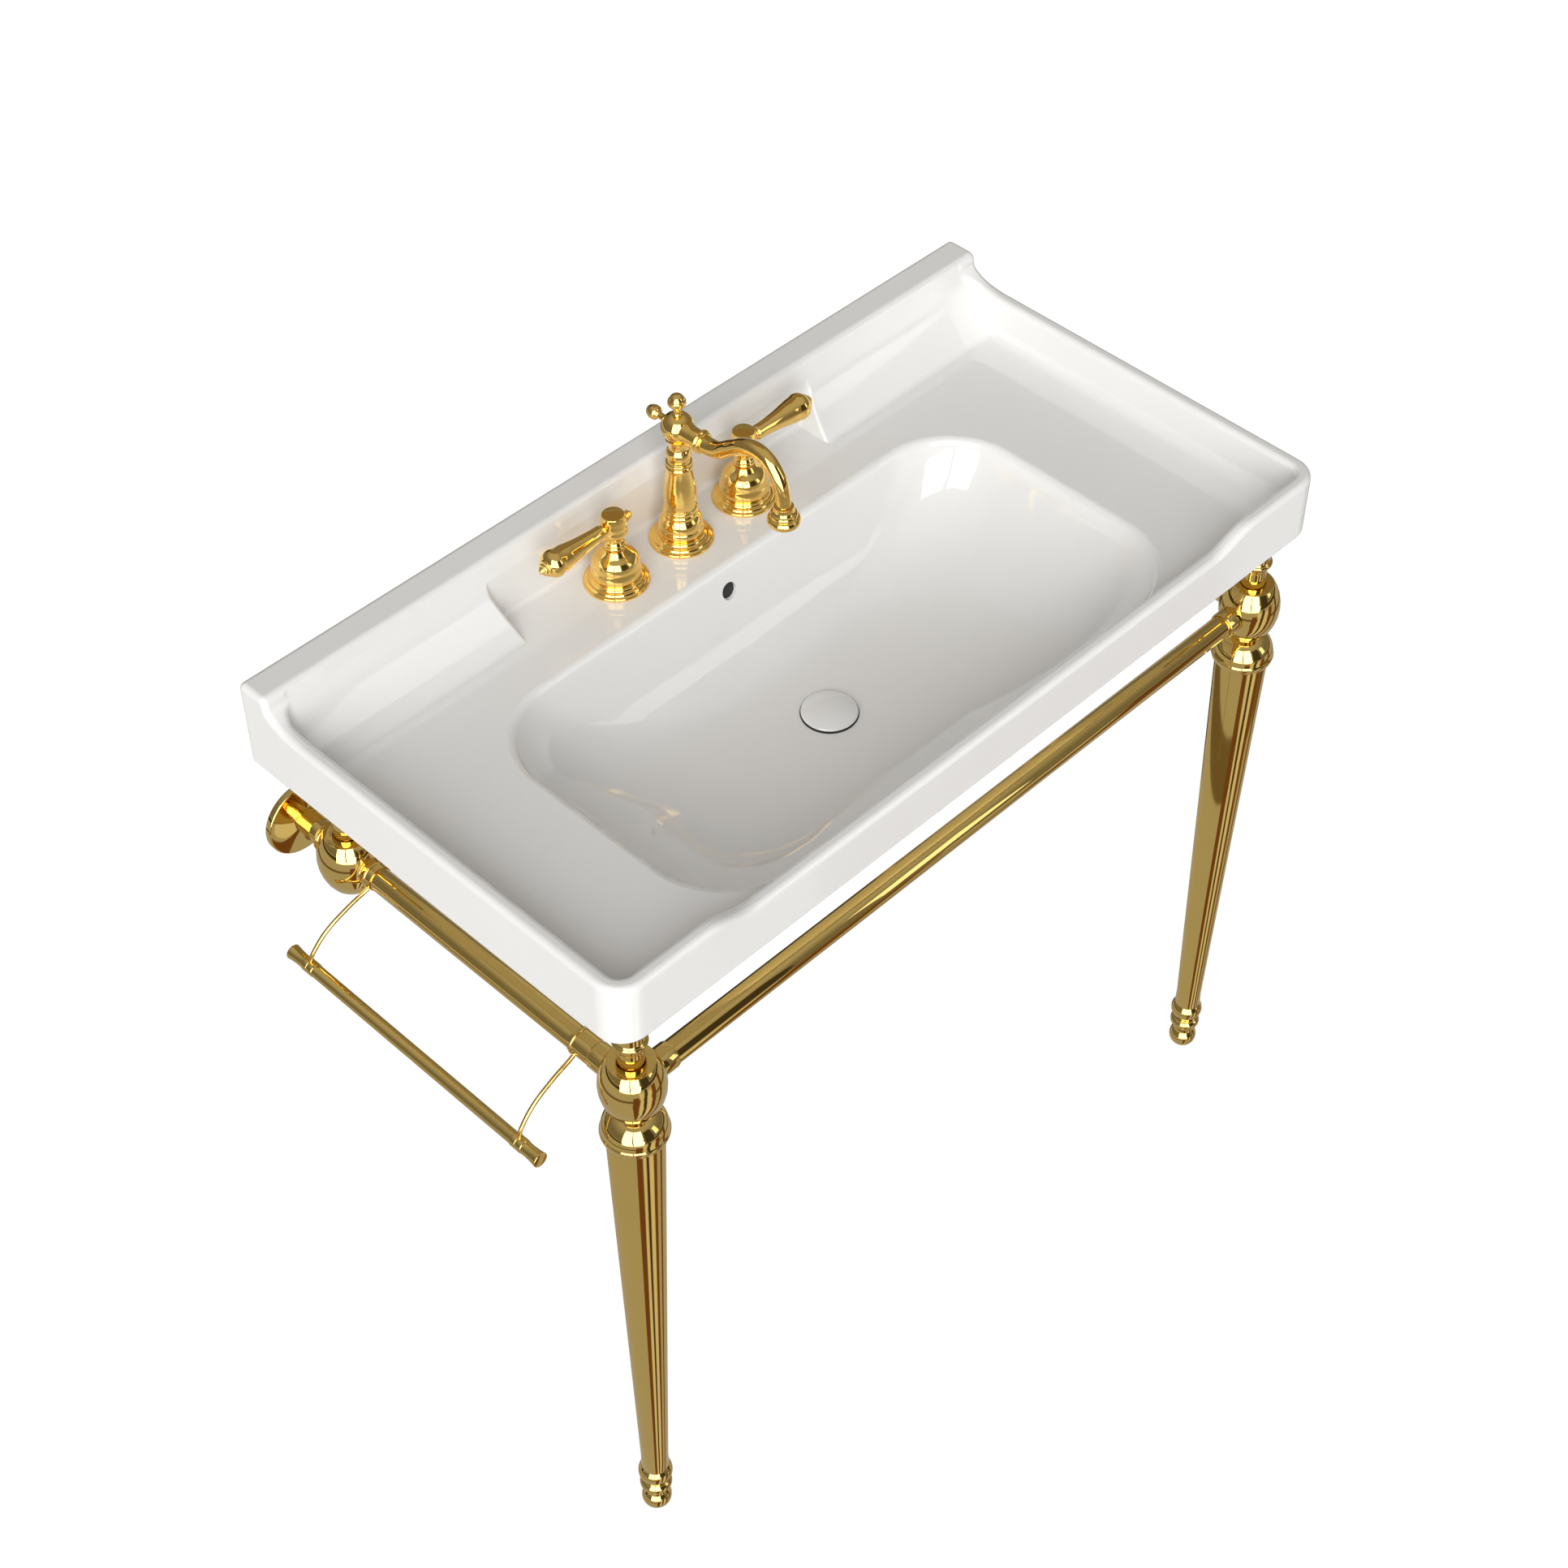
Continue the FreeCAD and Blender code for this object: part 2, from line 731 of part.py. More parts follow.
def make_rails():
    """The front rail and the two side rails, each with a ferrule at both ends."""
    radius = size.rail_radius
    bore = radius - size.tube_wall
    half = size.leg_spread - SOCKET_DEPTH
    keep(tube("front_rail", radius, bore, -half, half, (0.0, -size.leg_line, 0.0), X_AXIS))
    ends = []
    for side, direction in (("left", X_AXIS), ("right", -X_AXIS)):
        at = corner_at("front", side)
        ends.append(ferrule(f"front_rail_{side}_ferrule", at, direction, size.ferrule_reach))
    keep(grouped("front_rail_ferrules", ends))
    middle = -(size.leg_line + size.rear_line) / 2
    half = (size.leg_line - size.rear_line) / 2 - SOCKET_DEPTH
    for side in ("left", "right"):
        x = corner_at("front", side)[0]
        keep(tube(f"{side}_rail", radius, bore, -half, half, (x, middle, 0.0), Y_AXIS))
        ends = []
        for end, direction, reach in (
            ("front", Y_AXIS, size.ferrule_reach),
            ("rear", -Y_AXIS, size.rear_ferrule_reach),
        ):
            ends.append(ferrule(f"{side}_rail_{end}_ferrule", corner_at(end, side), direction, reach))
        keep(grouped(f"{side}_rail_ferrules", ends))


def make_wall_brackets():
    """The tubes from the rear hubs to the wall, their collars, cover flanges and screw plates."""
    radius = size.rail_radius
    bore = radius - size.tube_wall
    flange = size.wall_flange_radius
    thick = size.wall_flange_thickness
    plate_thick = 4.0
    plate_radius = 26.0
    collars = []
    plates = []
    for side in ("left", "right"):
        hub = corner_at("rear", side)
        at = (hub[0], 0.0, 0.0)
        end = size.rear_line - SOCKET_DEPTH
        keep(tube(f"{side}_wall_tube", radius, bore, plate_thick, end, at, -Y_AXIS))
        collar = [
            (radius + 0.05, SEAT_DEPTH),
            (size.ferrule_radius, SEAT_DEPTH),
            (size.ferrule_radius, SEAT_DEPTH + 3),
            (size.ferrule_radius + 2, SEAT_DEPTH + 5.5, -0.4),
            (size.ferrule_radius + 1.4, SEAT_DEPTH + 8, 0.4),
            (radius + 0.05, SEAT_DEPTH + 8),
        ]
        collars.append(turned(f"{side}_wall_collar", collar, hub, Y_AXIS))
        cover = [
            (plate_radius + 0.5, 0.0),
            (flange, 0.0),
            (flange, thick - 1.2),
            (flange - 1.2, thick, 0.35),
            (radius + 0.05, thick + 2.5),
            (radius + 0.05, plate_thick + 0.2),
            (plate_radius + 0.5, plate_thick + 0.2),
        ]
        keep(turned(f"{side}_wall_flange", cover, at, -Y_AXIS))
        spigot = [
            (0.0, 0.0),
            (plate_radius, 0.0),
            (plate_radius, plate_thick),
            (bore - 0.05, plate_thick),
            (bore - 0.05, plate_thick + 16),
            (0.0, plate_thick + 16),
        ]
        blank = turned(f"{side}_plate_blank", spigot, at, -Y_AXIS)
        screws = []
        for name, sign in (("upper", 1), ("lower", -1)):
            place_at = (hub[0], 1.0, sign * size.wall_screw_spacing / 2)
            screws.append(rod(f"{side}_{name}_screw_hole", size.wall_screw_radius, 8, place_at, -Y_AXIS))
        plates.append(drilled(f"{side}_wall_plate", blank, screws))
    keep(grouped("wall_collars", collars))
    keep(grouped("wall_plates", plates))


def ball_arc(radius, centre, low, high):
    """Two outline corners with the round of a ball between two angles above the level."""
    low_turn = math.radians(low)
    high_turn = math.radians(high)
    bulge = radius * (1 - math.cos((high_turn - low_turn) / 2))
    return [
        (radius * math.cos(low_turn), centre + radius * math.sin(low_turn)),
        (radius * math.cos(high_turn), centre + radius * math.sin(high_turn), bulge),
    ]


def make_legs():
    """The two tapered legs with their beads, domed collars and ball feet."""
    floor = -size.floor_drop
    ankle = floor + size.ankle_height
    bead = size.ankle_bead_radius
    shaft = size.leg_ankle_radius
    neck = floor + 31.5
    spigot = 8.0
    head = -size.collar_rim_drop - 7
    leg = [
        (4.2, neck),
        (12.2, neck),
        (12.6, neck + 3.5),
        (12.6, neck + 16.5, bead - 13.6),
        (13.2, neck + 18),
        (13.2, neck + 20),
        (13.6, neck + 21),
        (13.6, neck + 41, bead - 13.6),
        (shaft + 0.6, neck + 43.5, -0.4),
        (shaft, ankle),
        (size.leg_head_radius, head),
        (spigot, head),
        (spigot, -size.hub_half_height + 15),
        (0.0, -size.hub_half_height + 15),
        (0.0, neck + 30),
        (4.2, neck + 30),
    ]
    rim = size.collar_radius
    neck_radius = 15.0
    collar = [
        (spigot + 0.1, head),
        (size.leg_head_radius + 0.3, head),
        (rim - 1.1, head + 4, 1.3),
        (rim - 1.1, head + 10, 1.1),
        (neck_radius, -size.hub_half_height - 7, 4.5),
        (neck_radius, -size.hub_half_height, 1.7),
        (spigot + 0.1, -size.hub_half_height),
    ]
    foot_centre = floor + size.foot_radius * math.sin(math.radians(71))
    foot = [(0.0, floor)]
    foot += ball_arc(size.foot_radius, foot_centre, -71, 44)
    foot += [
        (size.foot_radius * math.cos(math.radians(44)), neck - 0.1),
        (4.1, neck - 0.1),
        (4.1, neck + 24),
        (0.0, neck + 24),
    ]
    for side in ("left", "right"):
        at = corner_at("front", side)
        keep(turned(f"front_{side}_leg", leg, at))
        keep(turned(f"front_{side}_collar", collar, at))
        keep(turned(f"front_{side}_foot", foot, at))


# ---------------------------------------------------------------- towel bar


def dome(radius, height, rise):
    """Last two corners of an outline that ends in a spherical cap on the axis."""
    ball = (radius * radius + rise * rise) / (2 * rise)
    half_turn = math.atan2(radius, ball - rise) / 2
    return [(radius, height), (0.0, height + rise, ball * (1 - math.cos(half_turn)))]


def mirrored(outline):
    """An outline from the axis outwards, completed by its own mirror image."""
    other = []
    for corner, following in zip(outline[::-1], [None] + outline[::-1]):
        bulge = following[2:] if following else ()
        other.append((corner[0], -corner[1]) + bulge)
    return outline + other


def make_towel_bar():
    """The towel bar on the left side, hung from the side rail by two curved arms."""
    radius = size.towel_bar_radius
    middle = -(size.towel_bar_front + size.towel_bar_back) / 2
    half = (size.towel_bar_front - size.towel_bar_back) / 2
    line = -size.towel_bar_line
    drop = -size.towel_bar_drop
    ring = half - 27.5
    outline = [
        (0.0, -half),
        (radius + 1.3, -half),
        (radius + 1.6, -half + 2),
        (radius + 0.5, -half + 12),
        (radius + 0.5, -ring - 5),
        (radius + 1.2, -ring - 4),
        (radius + 1.2, -ring + 4),
        (radius + 0.5, -ring + 5),
    ]
    keep(turned("towel_bar", mirrored(outline), (line, middle, drop), Y_AXIS))
    front_sleeve = (-size.leg_line + size.ferrule_reach + 0.1, -386.5)
    back_sleeve = (-117.8, -size.rear_line - size.rear_ferrule_reach - 0.1)
    for name, sleeve, y, foot_y in (
        ("front", front_sleeve, -size.towel_arm_front, middle - ring),
        ("back", back_sleeve, -size.towel_arm_back, middle + ring),
    ):
        keep(fused(f"towel_arm_{name}", [towel_sleeve(name, sleeve, y), towel_arm(name, y, foot_y)]))


def towel_sleeve(name, ends, y):
    """Thin sleeve on the side rail with the bead that an arm hangs from."""
    bore = size.rail_radius + 0.05
    outer = size.rail_radius + 1.0
    start, end = ends
    outline = [
        (bore, start - y),
        (outer, start - y),
        (outer, -1.5),
        (outer, 1.5, 1.4),
        (outer, end - y),
        (bore, end - y),
    ]
    return turned(f"towel_sleeve_{name}", outline, (-size.leg_spread, y, 0.0), Y_AXIS)


def towel_arm(name, y, foot_y):
    """Round arm that curves out and down from the sleeve to the top of the towel bar."""
    line = -size.towel_bar_line
    foot_z = -size.towel_bar_drop + size.towel_bar_radius + 1.25
    start = Vector(-size.leg_spread - 8.0, y, -10.5)
    end = Vector(line, foot_y, foot_z)
    middle_point = Vector((start.x * 0.4 + end.x * 0.6), (y + foot_y) / 2, -31.5)
    path = Part.Wire([Part.Arc(start, middle_point, end).toShape()])
    tangent = path.Edges[0].tangentAt(path.Edges[0].FirstParameter)
    section = Part.Wire([Part.makeCircle(size.towel_arm_radius, start, tangent)])
    arm = document.addObject("Part::Feature", f"towel_rod_{name}")
    arm.Shape = path.makePipeShell([section], True, True)
    return arm


# ---------------------------------------------------------------- faucet


def make_spout():
    """The middle column with its ball head, finials, arched spout and aerator."""
    deck = size.deck_height
    at = (0.0, -size.faucet_line, deck)
    shank = size.deck_hole_radius - 0.7
    rim = size.spout_flange_radius
    column = size.column_radius
    flange = [
        (shank + 0.1, 0.0),
        (rim - 0.6, 0.0),
        (rim - 0.6, 3.4, 0.6),
        (rim - 4.0, 5.2, -0.5),
        (rim - 6.5, 6.4, 0.5),
        (column + 6.0, 11.0, -1.2),
        (shank + 0.1, 11.0),
    ]
    keep(turned("spout_flange", flange, at))
    outline = [
        (0.0, -60),
        (shank, -60),
        (shank, 11.0),
        (column + 5.0, 11.0),
        (column + 4.6, 20.0, 1.2),
        (column + 0.2, 32.5, 1.6),
        (column + 0.2, 37.0, 0.7),
        (column - 0.4, 37.6),
        (column - 0.2, 42.0, 0.7),
        (column - 1.6, 42.8),
        (column - 1.0, 47.5),
        (column - 1.4, 68.0, 0.9),
        (column - 4.4, 88.0, 0.3),
        (column - 3.6, 89.0),
        (column - 3.6, 93.0, 0.6),
        (column - 4.3, 93.6),
        (column - 3.8, 97.5, 0.6),
        (column - 5.4, 98.4),
        (column - 5.6, 101.0),
        (column - 5.8, 112.5, 1.6),
        (column - 6.8, 115.5, -0.3),
        (column - 3.4, 126.2, -0.9),
        (0.0, 126.2),
    ]
    keep(turned("spout_column", outline, at))
    centre = size.head_height
    head_at = (0.0, -size.faucet_line, deck + centre)
    ball_outline = [(0.0, -size.head_radius * math.sin(math.radians(47)))]
    ball_outline += ball_arc(size.head_radius, 0.0, -47, 72)
    ball_outline.append((0.0, size.head_radius * math.sin(math.radians(72))))
    ball = turned("head_ball", ball_outline, head_at)
    cone_outline = [(0.0, 10.0), (11.6, 10.0), (9.4, 24.0, -0.8), (9.4, 29.0), (0.0, 29.0)]
    cone = turned("head_cone", cone_outline, head_at, -Y_AXIS)
    seat_at = (0.0, -size.faucet_line + 14.2, deck + centre)
    seat = rod("rear_finial_seat", 5.65, 10, seat_at, Y_AXIS)
    keep(drilled("spout_head", fused("head_blank", [ball, cone]), [seat]))
    top = size.head_radius * math.sin(math.radians(72))
    knob = [
        (0.0, top),
        (5.0, top),
        (3.7, top + 3.0, -0.5),
        (3.7, top + 6.5),
        (5.6, top + 9.0, -0.4),
        (7.0, top + 10.2),
        (8.7, top + 14.4, 0.9),
        (8.0, top + 17.0, 0.4),
    ]
    knob += dome(7.4, top + 17.4, 6.0)
    keep(turned("top_finial", knob, head_at))
    rear = [
        (0.0, 14.2),
        (5.6, 14.2),
        (3.4, 22.0, -0.7),
        (3.4, 24.5),
        (5.0, 26.5),
        (7.1, 31.0, 0.8),
        (6.9, 34.0, 0.2),
    ]
    rear += dome(6.6, 34.4, 5.8)
    keep(turned("rear_finial", rear, head_at, Y_AXIS))
    keep(fused("spout", [spout_tube(), spout_collar(head_at)]))
    reach = size.faucet_line + size.spout_reach
    mouth = size.aerator_radius
    bell = [
        (mouth - 6.5, 4.0),
        (mouth - 6.5, 0.0),
        (mouth - 2.6, 0.0),
        (mouth - 0.7, 3.0, 0.7),
        (mouth - 0.7, 7.0, 0.7),
        (mouth - 3.0, 9.0, 0.5),
        (mouth - 3.6, 13.0, 0.5),
        (mouth - 6.6, 17.0, -0.7),
        (mouth - 6.6, 21.0),
        (0.0, 21.0),
        (0.0, 4.0),
    ]
    keep(turned("aerator", bell, (0.0, -reach, deck + size.aerator_height)))


def spout_tube():
    """The arched tube, drawn thinner from its collar to the aerator."""
    line = -size.faucet_line
    head = size.deck_height + size.head_height
    stations = [
        (29.0, -1.0, 0),
        (42.0, -0.2, 10),
        (54.0, 4.0, 30),
        (74.0, 17.5, 36),
        (88.0, 27.0, 27),
        (104.0, 32.0, 0),
        (120.0, 28.0, -34),
        (131.0, 17.0, -56),
        (138.0, 2.0, -75),
        (size.spout_reach, -13.0, -90),
    ]
    sections = []
    for index, (away, rise, slope) in enumerate(stations):
        angle = math.radians(slope)
        radius = size.spout_tube_radius + 0.6 - 0.17 * index
        centre = Vector(0, line - away, head + rise)
        along = Vector(0, -math.cos(angle), math.sin(angle))
        ring = Part.Circle(centre, along, radius)
        sections.append(Part.Wire([ring.toShape()]))
    tube_piece = document.addObject("Part::Feature", "spout_tube")
    tube_piece.Shape = Part.makeLoft(sections, True, False)
    return tube_piece


def spout_collar(at):
    """Ring that seats the spout on the head's cone."""
    ring = [(0.0, 29.0), (10.6, 29.0), (10.6, 33.0, 1.3), (10.0, 33.4), (10.0, 36.5, 0.9), (0.0, 36.5)]
    return turned("spout_collar", ring, at, -Y_AXIS)


LEVER_SEAT = 10.0


def make_handle(side):
    """One handle: escutcheon with its bell, valve, spindle, hub, lever and finial."""
    sign = SIDES[side]
    deck = size.deck_height
    at = (sign * size.faucet_spread, -size.faucet_line, deck)
    shank = size.deck_hole_radius - 0.7
    rim = size.escutcheon_radius
    bell = size.bell_radius
    spindle = 5.0
    top = size.handle_base - 0.8
    escutcheon = [
        (shank + 0.1, 0.0),
        (rim - 0.6, 0.0),
        (rim - 0.6, 3.2, 0.6),
        (rim - 3.6, 5.0, -0.5),
        (rim - 6.0, 6.0, 0.4),
        (bell + 0.6, 9.2, -0.6),
        (bell - 0.2, 9.8),
        (bell - 1.4, 22.5, 1.3),
        (bell - 7.6, 36.2, 2.2),
        (bell - 13.6, top, -0.4),
        (spindle + 0.5, top),
        (spindle + 0.5, 30.0),
        (shank + 0.1, 18.0),
    ]
    keep(turned(f"{side}_escutcheon", escutcheon, at))
    bore = spindle + size.shaft_gap
    valve = [
        (0.0, -70),
        (10.2, -70),
        (10.2, -50),
        (shank, -50),
        (shank, 16.0),
        (bore, 16.0),
        (bore, -24.0),
        (0.0, -24.0),
    ]
    keep(turned(f"{side}_valve", valve, at))
    keep(rod(f"{side}_spindle", spindle, 90 - 8, (at[0], at[1], deck - 22)))
    base = size.handle_base
    wide = size.handle_radius
    height = size.handle_height
    hub = [
        (spindle, base - 0.4),
        (wide - 2.4, base - 0.4),
        (wide - 2.0, base + 3.0, 0.6),
        (wide - 2.9, base + 3.6),
        (wide - 2.6, base + 6.2, 0.6),
        (wide - 3.4, base + 7.6),
        (wide - 2.6, base + 11.5, -0.5),
        (wide - 0.2, base + 22.0, 1.0),
        (wide - 0.6, base + 30.0, 0.4),
        (wide - 1.6, height - 0.8, 0.2),
        (wide - 2.4, height, 0.2),
        (0.0, height),
        (0.0, 60),
        (spindle, 60),
    ]
    droop = math.radians(size.lever_droop)
    outward = Vector(sign * math.cos(droop), 0, -math.sin(droop))
    pivot = (at[0], at[1], at[2] + size.lever_height)
    seats = []
    for name, radius, direction in (("lever", 3.65, outward), ("finial", 3.45, -outward)):
        mouth = tuple(value + along * LEVER_SEAT for value, along in zip(pivot, direction))
        seats.append(rod(f"{side}_{name}_seat", radius, 6, mouth, direction))
    keep(drilled(f"{side}_handle_hub", turned(f"{side}_hub_blank", hub, at), seats))
    make_lever(side, pivot, outward)


def make_lever(side, pivot, outward):
    """The lever that points away from the spout, and the bead finial across from it."""
    grip = size.lever_radius
    reach = size.lever_reach
    lever = [
        (0.0, LEVER_SEAT),
        (3.6, LEVER_SEAT),
        (3.6, 13.0),
        (5.2, 14.0, 0.4),
        (4.6, 15.2, 0.3),
        (5.8, 16.4, 0.4),
        (6.6, 17.4),
        (6.4, 32.0),
        (grip - 0.9, reach - 31, -0.7),
        (grip - 3.2, reach - 10.5, 2.9),
        (grip - 3.6, reach - 9.0),
        (grip - 5.0, reach - 6.6, 0.5),
        (grip - 5.4, reach - 6.0),
        (grip - 7.0, reach - 3.4, 0.5),
    ]
    lever += dome(grip - 7.6, reach - 2.8, 2.8)
    keep(turned(f"{side}_lever", lever, pivot, outward))
    bead = [
        (0.0, LEVER_SEAT),
        (3.4, LEVER_SEAT),
        (3.4, 12.2),
        (2.6, 12.8, -0.2),
        (3.6, 14.4, 0.4),
        (2.8, 15.6, 0.3),
        (3.8, 17.6, 0.6),
    ]
    bead += dome(3.2, 18.8, 2.4)
    keep(turned(f"{side}_lever_finial", bead, pivot, -outward))


def make_deck_nuts():
    """The three nuts that clamp the faucet under the deck."""
    under = size.deck_height - size.clay_thickness
    shank = size.deck_hole_radius - 0.65
    nuts = []
    for name, x in (("left", -size.faucet_spread), ("middle", 0.0), ("right", size.faucet_spread)):
        nuts.append(tube(f"{name}_deck_nut", 23, shank, -9, 0, (x, -size.faucet_line, under)))
    keep(grouped("deck_nuts", nuts))


def write_nodes():
    """Recompute, test every object and write each node's shape."""
    document.recompute()
    for item in document.Objects:
        if "Invalid" in item.State or "Error" in item.State:
            raise RuntimeError(f"{item.Name} failed: {item.State}")
    os.makedirs("parts", exist_ok=True)
    for item in nodes:
        if item.Shape.isNull() or not item.Shape.isValid():
            raise RuntimeError(f"{item.Label} has no valid shape")
        item.Shape.exportStep(f"parts/{item.Label}.step")
        print(item.Label, len(item.Shape.Solids), round(item.Shape.Volume / 1000, 2), "cm3")


make_basin()
make_waste()
make_hubs()
make_posts()
make_rails()
make_wall_brackets()
make_legs()
make_towel_bar()
make_spout()
for handle_side in ("left", "right"):
    make_handle(handle_side)
make_deck_nuts()
write_nodes()
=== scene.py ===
"""Looks for a console washbasin.

White glazed clay on a turned gilt frame, with a lever faucet and a towel bar. Sizes are in millimetres.
"""

import json
import logging
import math
from dataclasses import dataclass, field
from enum import Enum

import bpy
from mathutils import Matrix, Vector


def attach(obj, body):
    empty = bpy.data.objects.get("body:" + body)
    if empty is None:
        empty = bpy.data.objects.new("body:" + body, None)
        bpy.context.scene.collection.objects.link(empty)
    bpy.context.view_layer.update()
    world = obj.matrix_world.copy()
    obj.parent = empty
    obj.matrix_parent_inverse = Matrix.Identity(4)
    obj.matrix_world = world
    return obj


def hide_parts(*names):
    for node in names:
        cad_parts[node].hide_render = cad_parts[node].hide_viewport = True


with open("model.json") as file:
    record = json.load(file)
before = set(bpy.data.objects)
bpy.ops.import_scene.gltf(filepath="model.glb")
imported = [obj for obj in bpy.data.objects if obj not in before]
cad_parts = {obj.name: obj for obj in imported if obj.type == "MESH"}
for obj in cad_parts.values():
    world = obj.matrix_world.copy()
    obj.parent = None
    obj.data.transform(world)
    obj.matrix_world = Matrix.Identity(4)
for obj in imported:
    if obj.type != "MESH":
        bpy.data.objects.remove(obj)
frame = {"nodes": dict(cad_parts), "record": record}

MM = 0.001
SAME_POINT = 1e-4
EVEN_SHADING_ANGLE = 40
NOISE_RANGE = (0.3, 0.7)
LEG_X = 430.4
FRONT_Y = -457.4
REAR_Y = -74.6
DECK = 125.5
LOG = logging.getLogger("washbasin")
Corner = tuple[float, ...]
Outline = list[Corner]
Point = tuple[float, float, float]
Colour = tuple[float, float, float]
Socket = bpy.types.NodeSocket


class Body(Enum):
    """The rigid bodies that a piece can ride on."""

    CONSOLE = "console"
    LEFT_HANDLE = "left_handle"
    RIGHT_HANDLE = "right_handle"
    STOPPER = "drain_stopper"


class Slot(Enum):
    """The record's material slots."""

    CLAY = "vitreous"
    FRAME = "frame_gold"
    FAUCET = "faucet_gold"
    BRASS = "plumbing_brass"
    PLASTIC = "cartridge_plastic"
    # Rubber seals, and the black pieces that paint shade under the drain cap and in the overflow hole.
    RUBBER = "seal_rubber"


# ---------------------------------------------------------------- finishes


@dataclass(frozen=True)
class Finish:
    """A surface finish with two close colours, a gloss that varies and a fine relief."""

    slot: Slot
    colour: Colour
    second: Colour
    metallic: float
    roughness: tuple[float, float]
    patch: float
    grain: float
    relief: float
    coat: float = 0.0
    coat_roughness: float = 0.03
    bump: float = 0.35

    def material(self) -> bpy.types.Material:
        """Build the node material.

        Returns:
            The material, named after the slot.
        """
        material = bpy.data.materials.new(f"look_{self.slot.value}")
        material.use_nodes = True
        nodes = material.node_tree.nodes
        links = material.node_tree.links
        shader = nodes["Principled BSDF"]
        shader.inputs["Metallic"].default_value = self.metallic
        shader.inputs["Coat Weight"].default_value = self.coat
        shader.inputs["Coat Roughness"].default_value = self.coat_roughness
        place = nodes.new("ShaderNodeTexCoord")
        patches = nodes.new("ShaderNodeTexNoise")
        patches.inputs["Scale"].default_value = self.patch
        patches.inputs["Detail"].default_value = 4.0
        grain = nodes.new("ShaderNodeTexNoise")
        grain.inputs["Scale"].default_value = self.grain
        grain.inputs["Detail"].default_value = 3.0
        tint = nodes.new("ShaderNodeMix")
        tint.data_type = "RGBA"
        tint.inputs[6].default_value = (*self.colour, 1.0)
        tint.inputs[7].default_value = (*self.second, 1.0)
        gloss = nodes.new("ShaderNodeMapRange")
        gloss.inputs["From Min"].default_value = NOISE_RANGE[0]
        gloss.inputs["From Max"].default_value = NOISE_RANGE[1]
        gloss.inputs["To Min"].default_value = self.roughness[0]
        gloss.inputs["To Max"].default_value = self.roughness[1]
        bump = nodes.new("ShaderNodeBump")
        bump.inputs["Strength"].default_value = self.bump
        bump.inputs["Distance"].default_value = self.relief
        links.new(place.outputs["Object"], patches.inputs["Vector"])
        links.new(place.outputs["Object"], grain.inputs["Vector"])
        links.new(patches.outputs["Fac"], tint.inputs[0])
        links.new(tint.outputs[2], shader.inputs["Base Color"])
        links.new(patches.outputs["Fac"], gloss.inputs["Value"])
        links.new(gloss.outputs["Result"], shader.inputs["Roughness"])
        links.new(grain.outputs["Fac"], bump.inputs["Height"])
        links.new(bump.outputs["Normal"], shader.inputs["Normal"])
        return material


GLAZE = Finish(
    slot=Slot.CLAY,
    colour=(0.80, 0.795, 0.78),
    second=(0.83, 0.825, 0.81),
    metallic=0.0,
    roughness=(0.03, 0.06),
    patch=9.0,
    grain=260.0,
    relief=0.00001,
    coat=0.3,
)
FRAME_GOLD = Finish(
    slot=Slot.FRAME,
    colour=(0.81, 0.565, 0.165),
    second=(0.85, 0.60, 0.195),
    metallic=1.0,
    roughness=(0.03, 0.06),
    patch=22.0,
    grain=900.0,
    relief=0.000002,
)
FAUCET_GOLD = Finish(
    slot=Slot.FAUCET,
    colour=(0.95, 0.62, 0.16),
    second=(0.98, 0.66, 0.20),
    metallic=1.0,
    roughness=(0.03, 0.06),
    patch=40.0,
    grain=900.0,
    relief=0.000002,
)
BRASS = Finish(
    slot=Slot.BRASS,
    colour=(0.50, 0.36, 0.14),
    second=(0.60, 0.44, 0.19),
    metallic=1.0,
    roughness=(0.22, 0.34),
    patch=60.0,
    grain=1500.0,
    relief=0.00003,
)
PLASTIC = Finish(
    slot=Slot.PLASTIC,
    colour=(0.70, 0.70, 0.68),
    second=(0.75, 0.75, 0.73),
    metallic=0.0,
    roughness=(0.40, 0.50),
    patch=60.0,
    grain=1200.0,
    relief=0.00003,
)
# Black rubber for the seals; the same black also paints shade under the drain cap and inside the overflow
# hole.
RUBBER = Finish(
    slot=Slot.RUBBER,
    colour=(0.02, 0.02, 0.02),
    second=(0.03, 0.03, 0.03),
    metallic=0.0,
    roughness=(0.55, 0.70),
    patch=80.0,
    grain=1200.0,
    relief=0.00005,
)
FINISHES = (GLAZE, FRAME_GOLD, FAUCET_GOLD, BRASS, PLASTIC, RUBBER)


class Palette:
    """One material for each slot, made once."""

    def __init__(self) -> None:
        """Make every material."""
        self.materials = {finish.slot: finish.material() for finish in FINISHES}

    def dress(self, piece: bpy.types.Object, slot: Slot) -> None:
        """Give a piece the material of a slot.

        Args:
            piece: The mesh object to dress.
            slot: The slot whose finish it takes.
        """
        piece.data.materials.clear()
        piece.data.materials.append(self.materials[slot])

    def dress_nodes(self) -> None:
        """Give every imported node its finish, by the slot that the record names."""
        slots = {entry["node"]: entry["material_slot"] for entry in frame["record"]["subparts"]}
        for name, node in frame["nodes"].items():
            slot = Slot(slots[name])
            for index in range(len(node.material_slots)):
                node.material_slots[index].material = self.materials[slot]


# ---------------------------------------------------------------- making pieces


def clear_selection() -> None:
    """Leave edit mode's work with nothing selected and nothing active."""
    bpy.ops.object.select_all(action="DESELECT")
    bpy.context.view_layer.objects.active = None


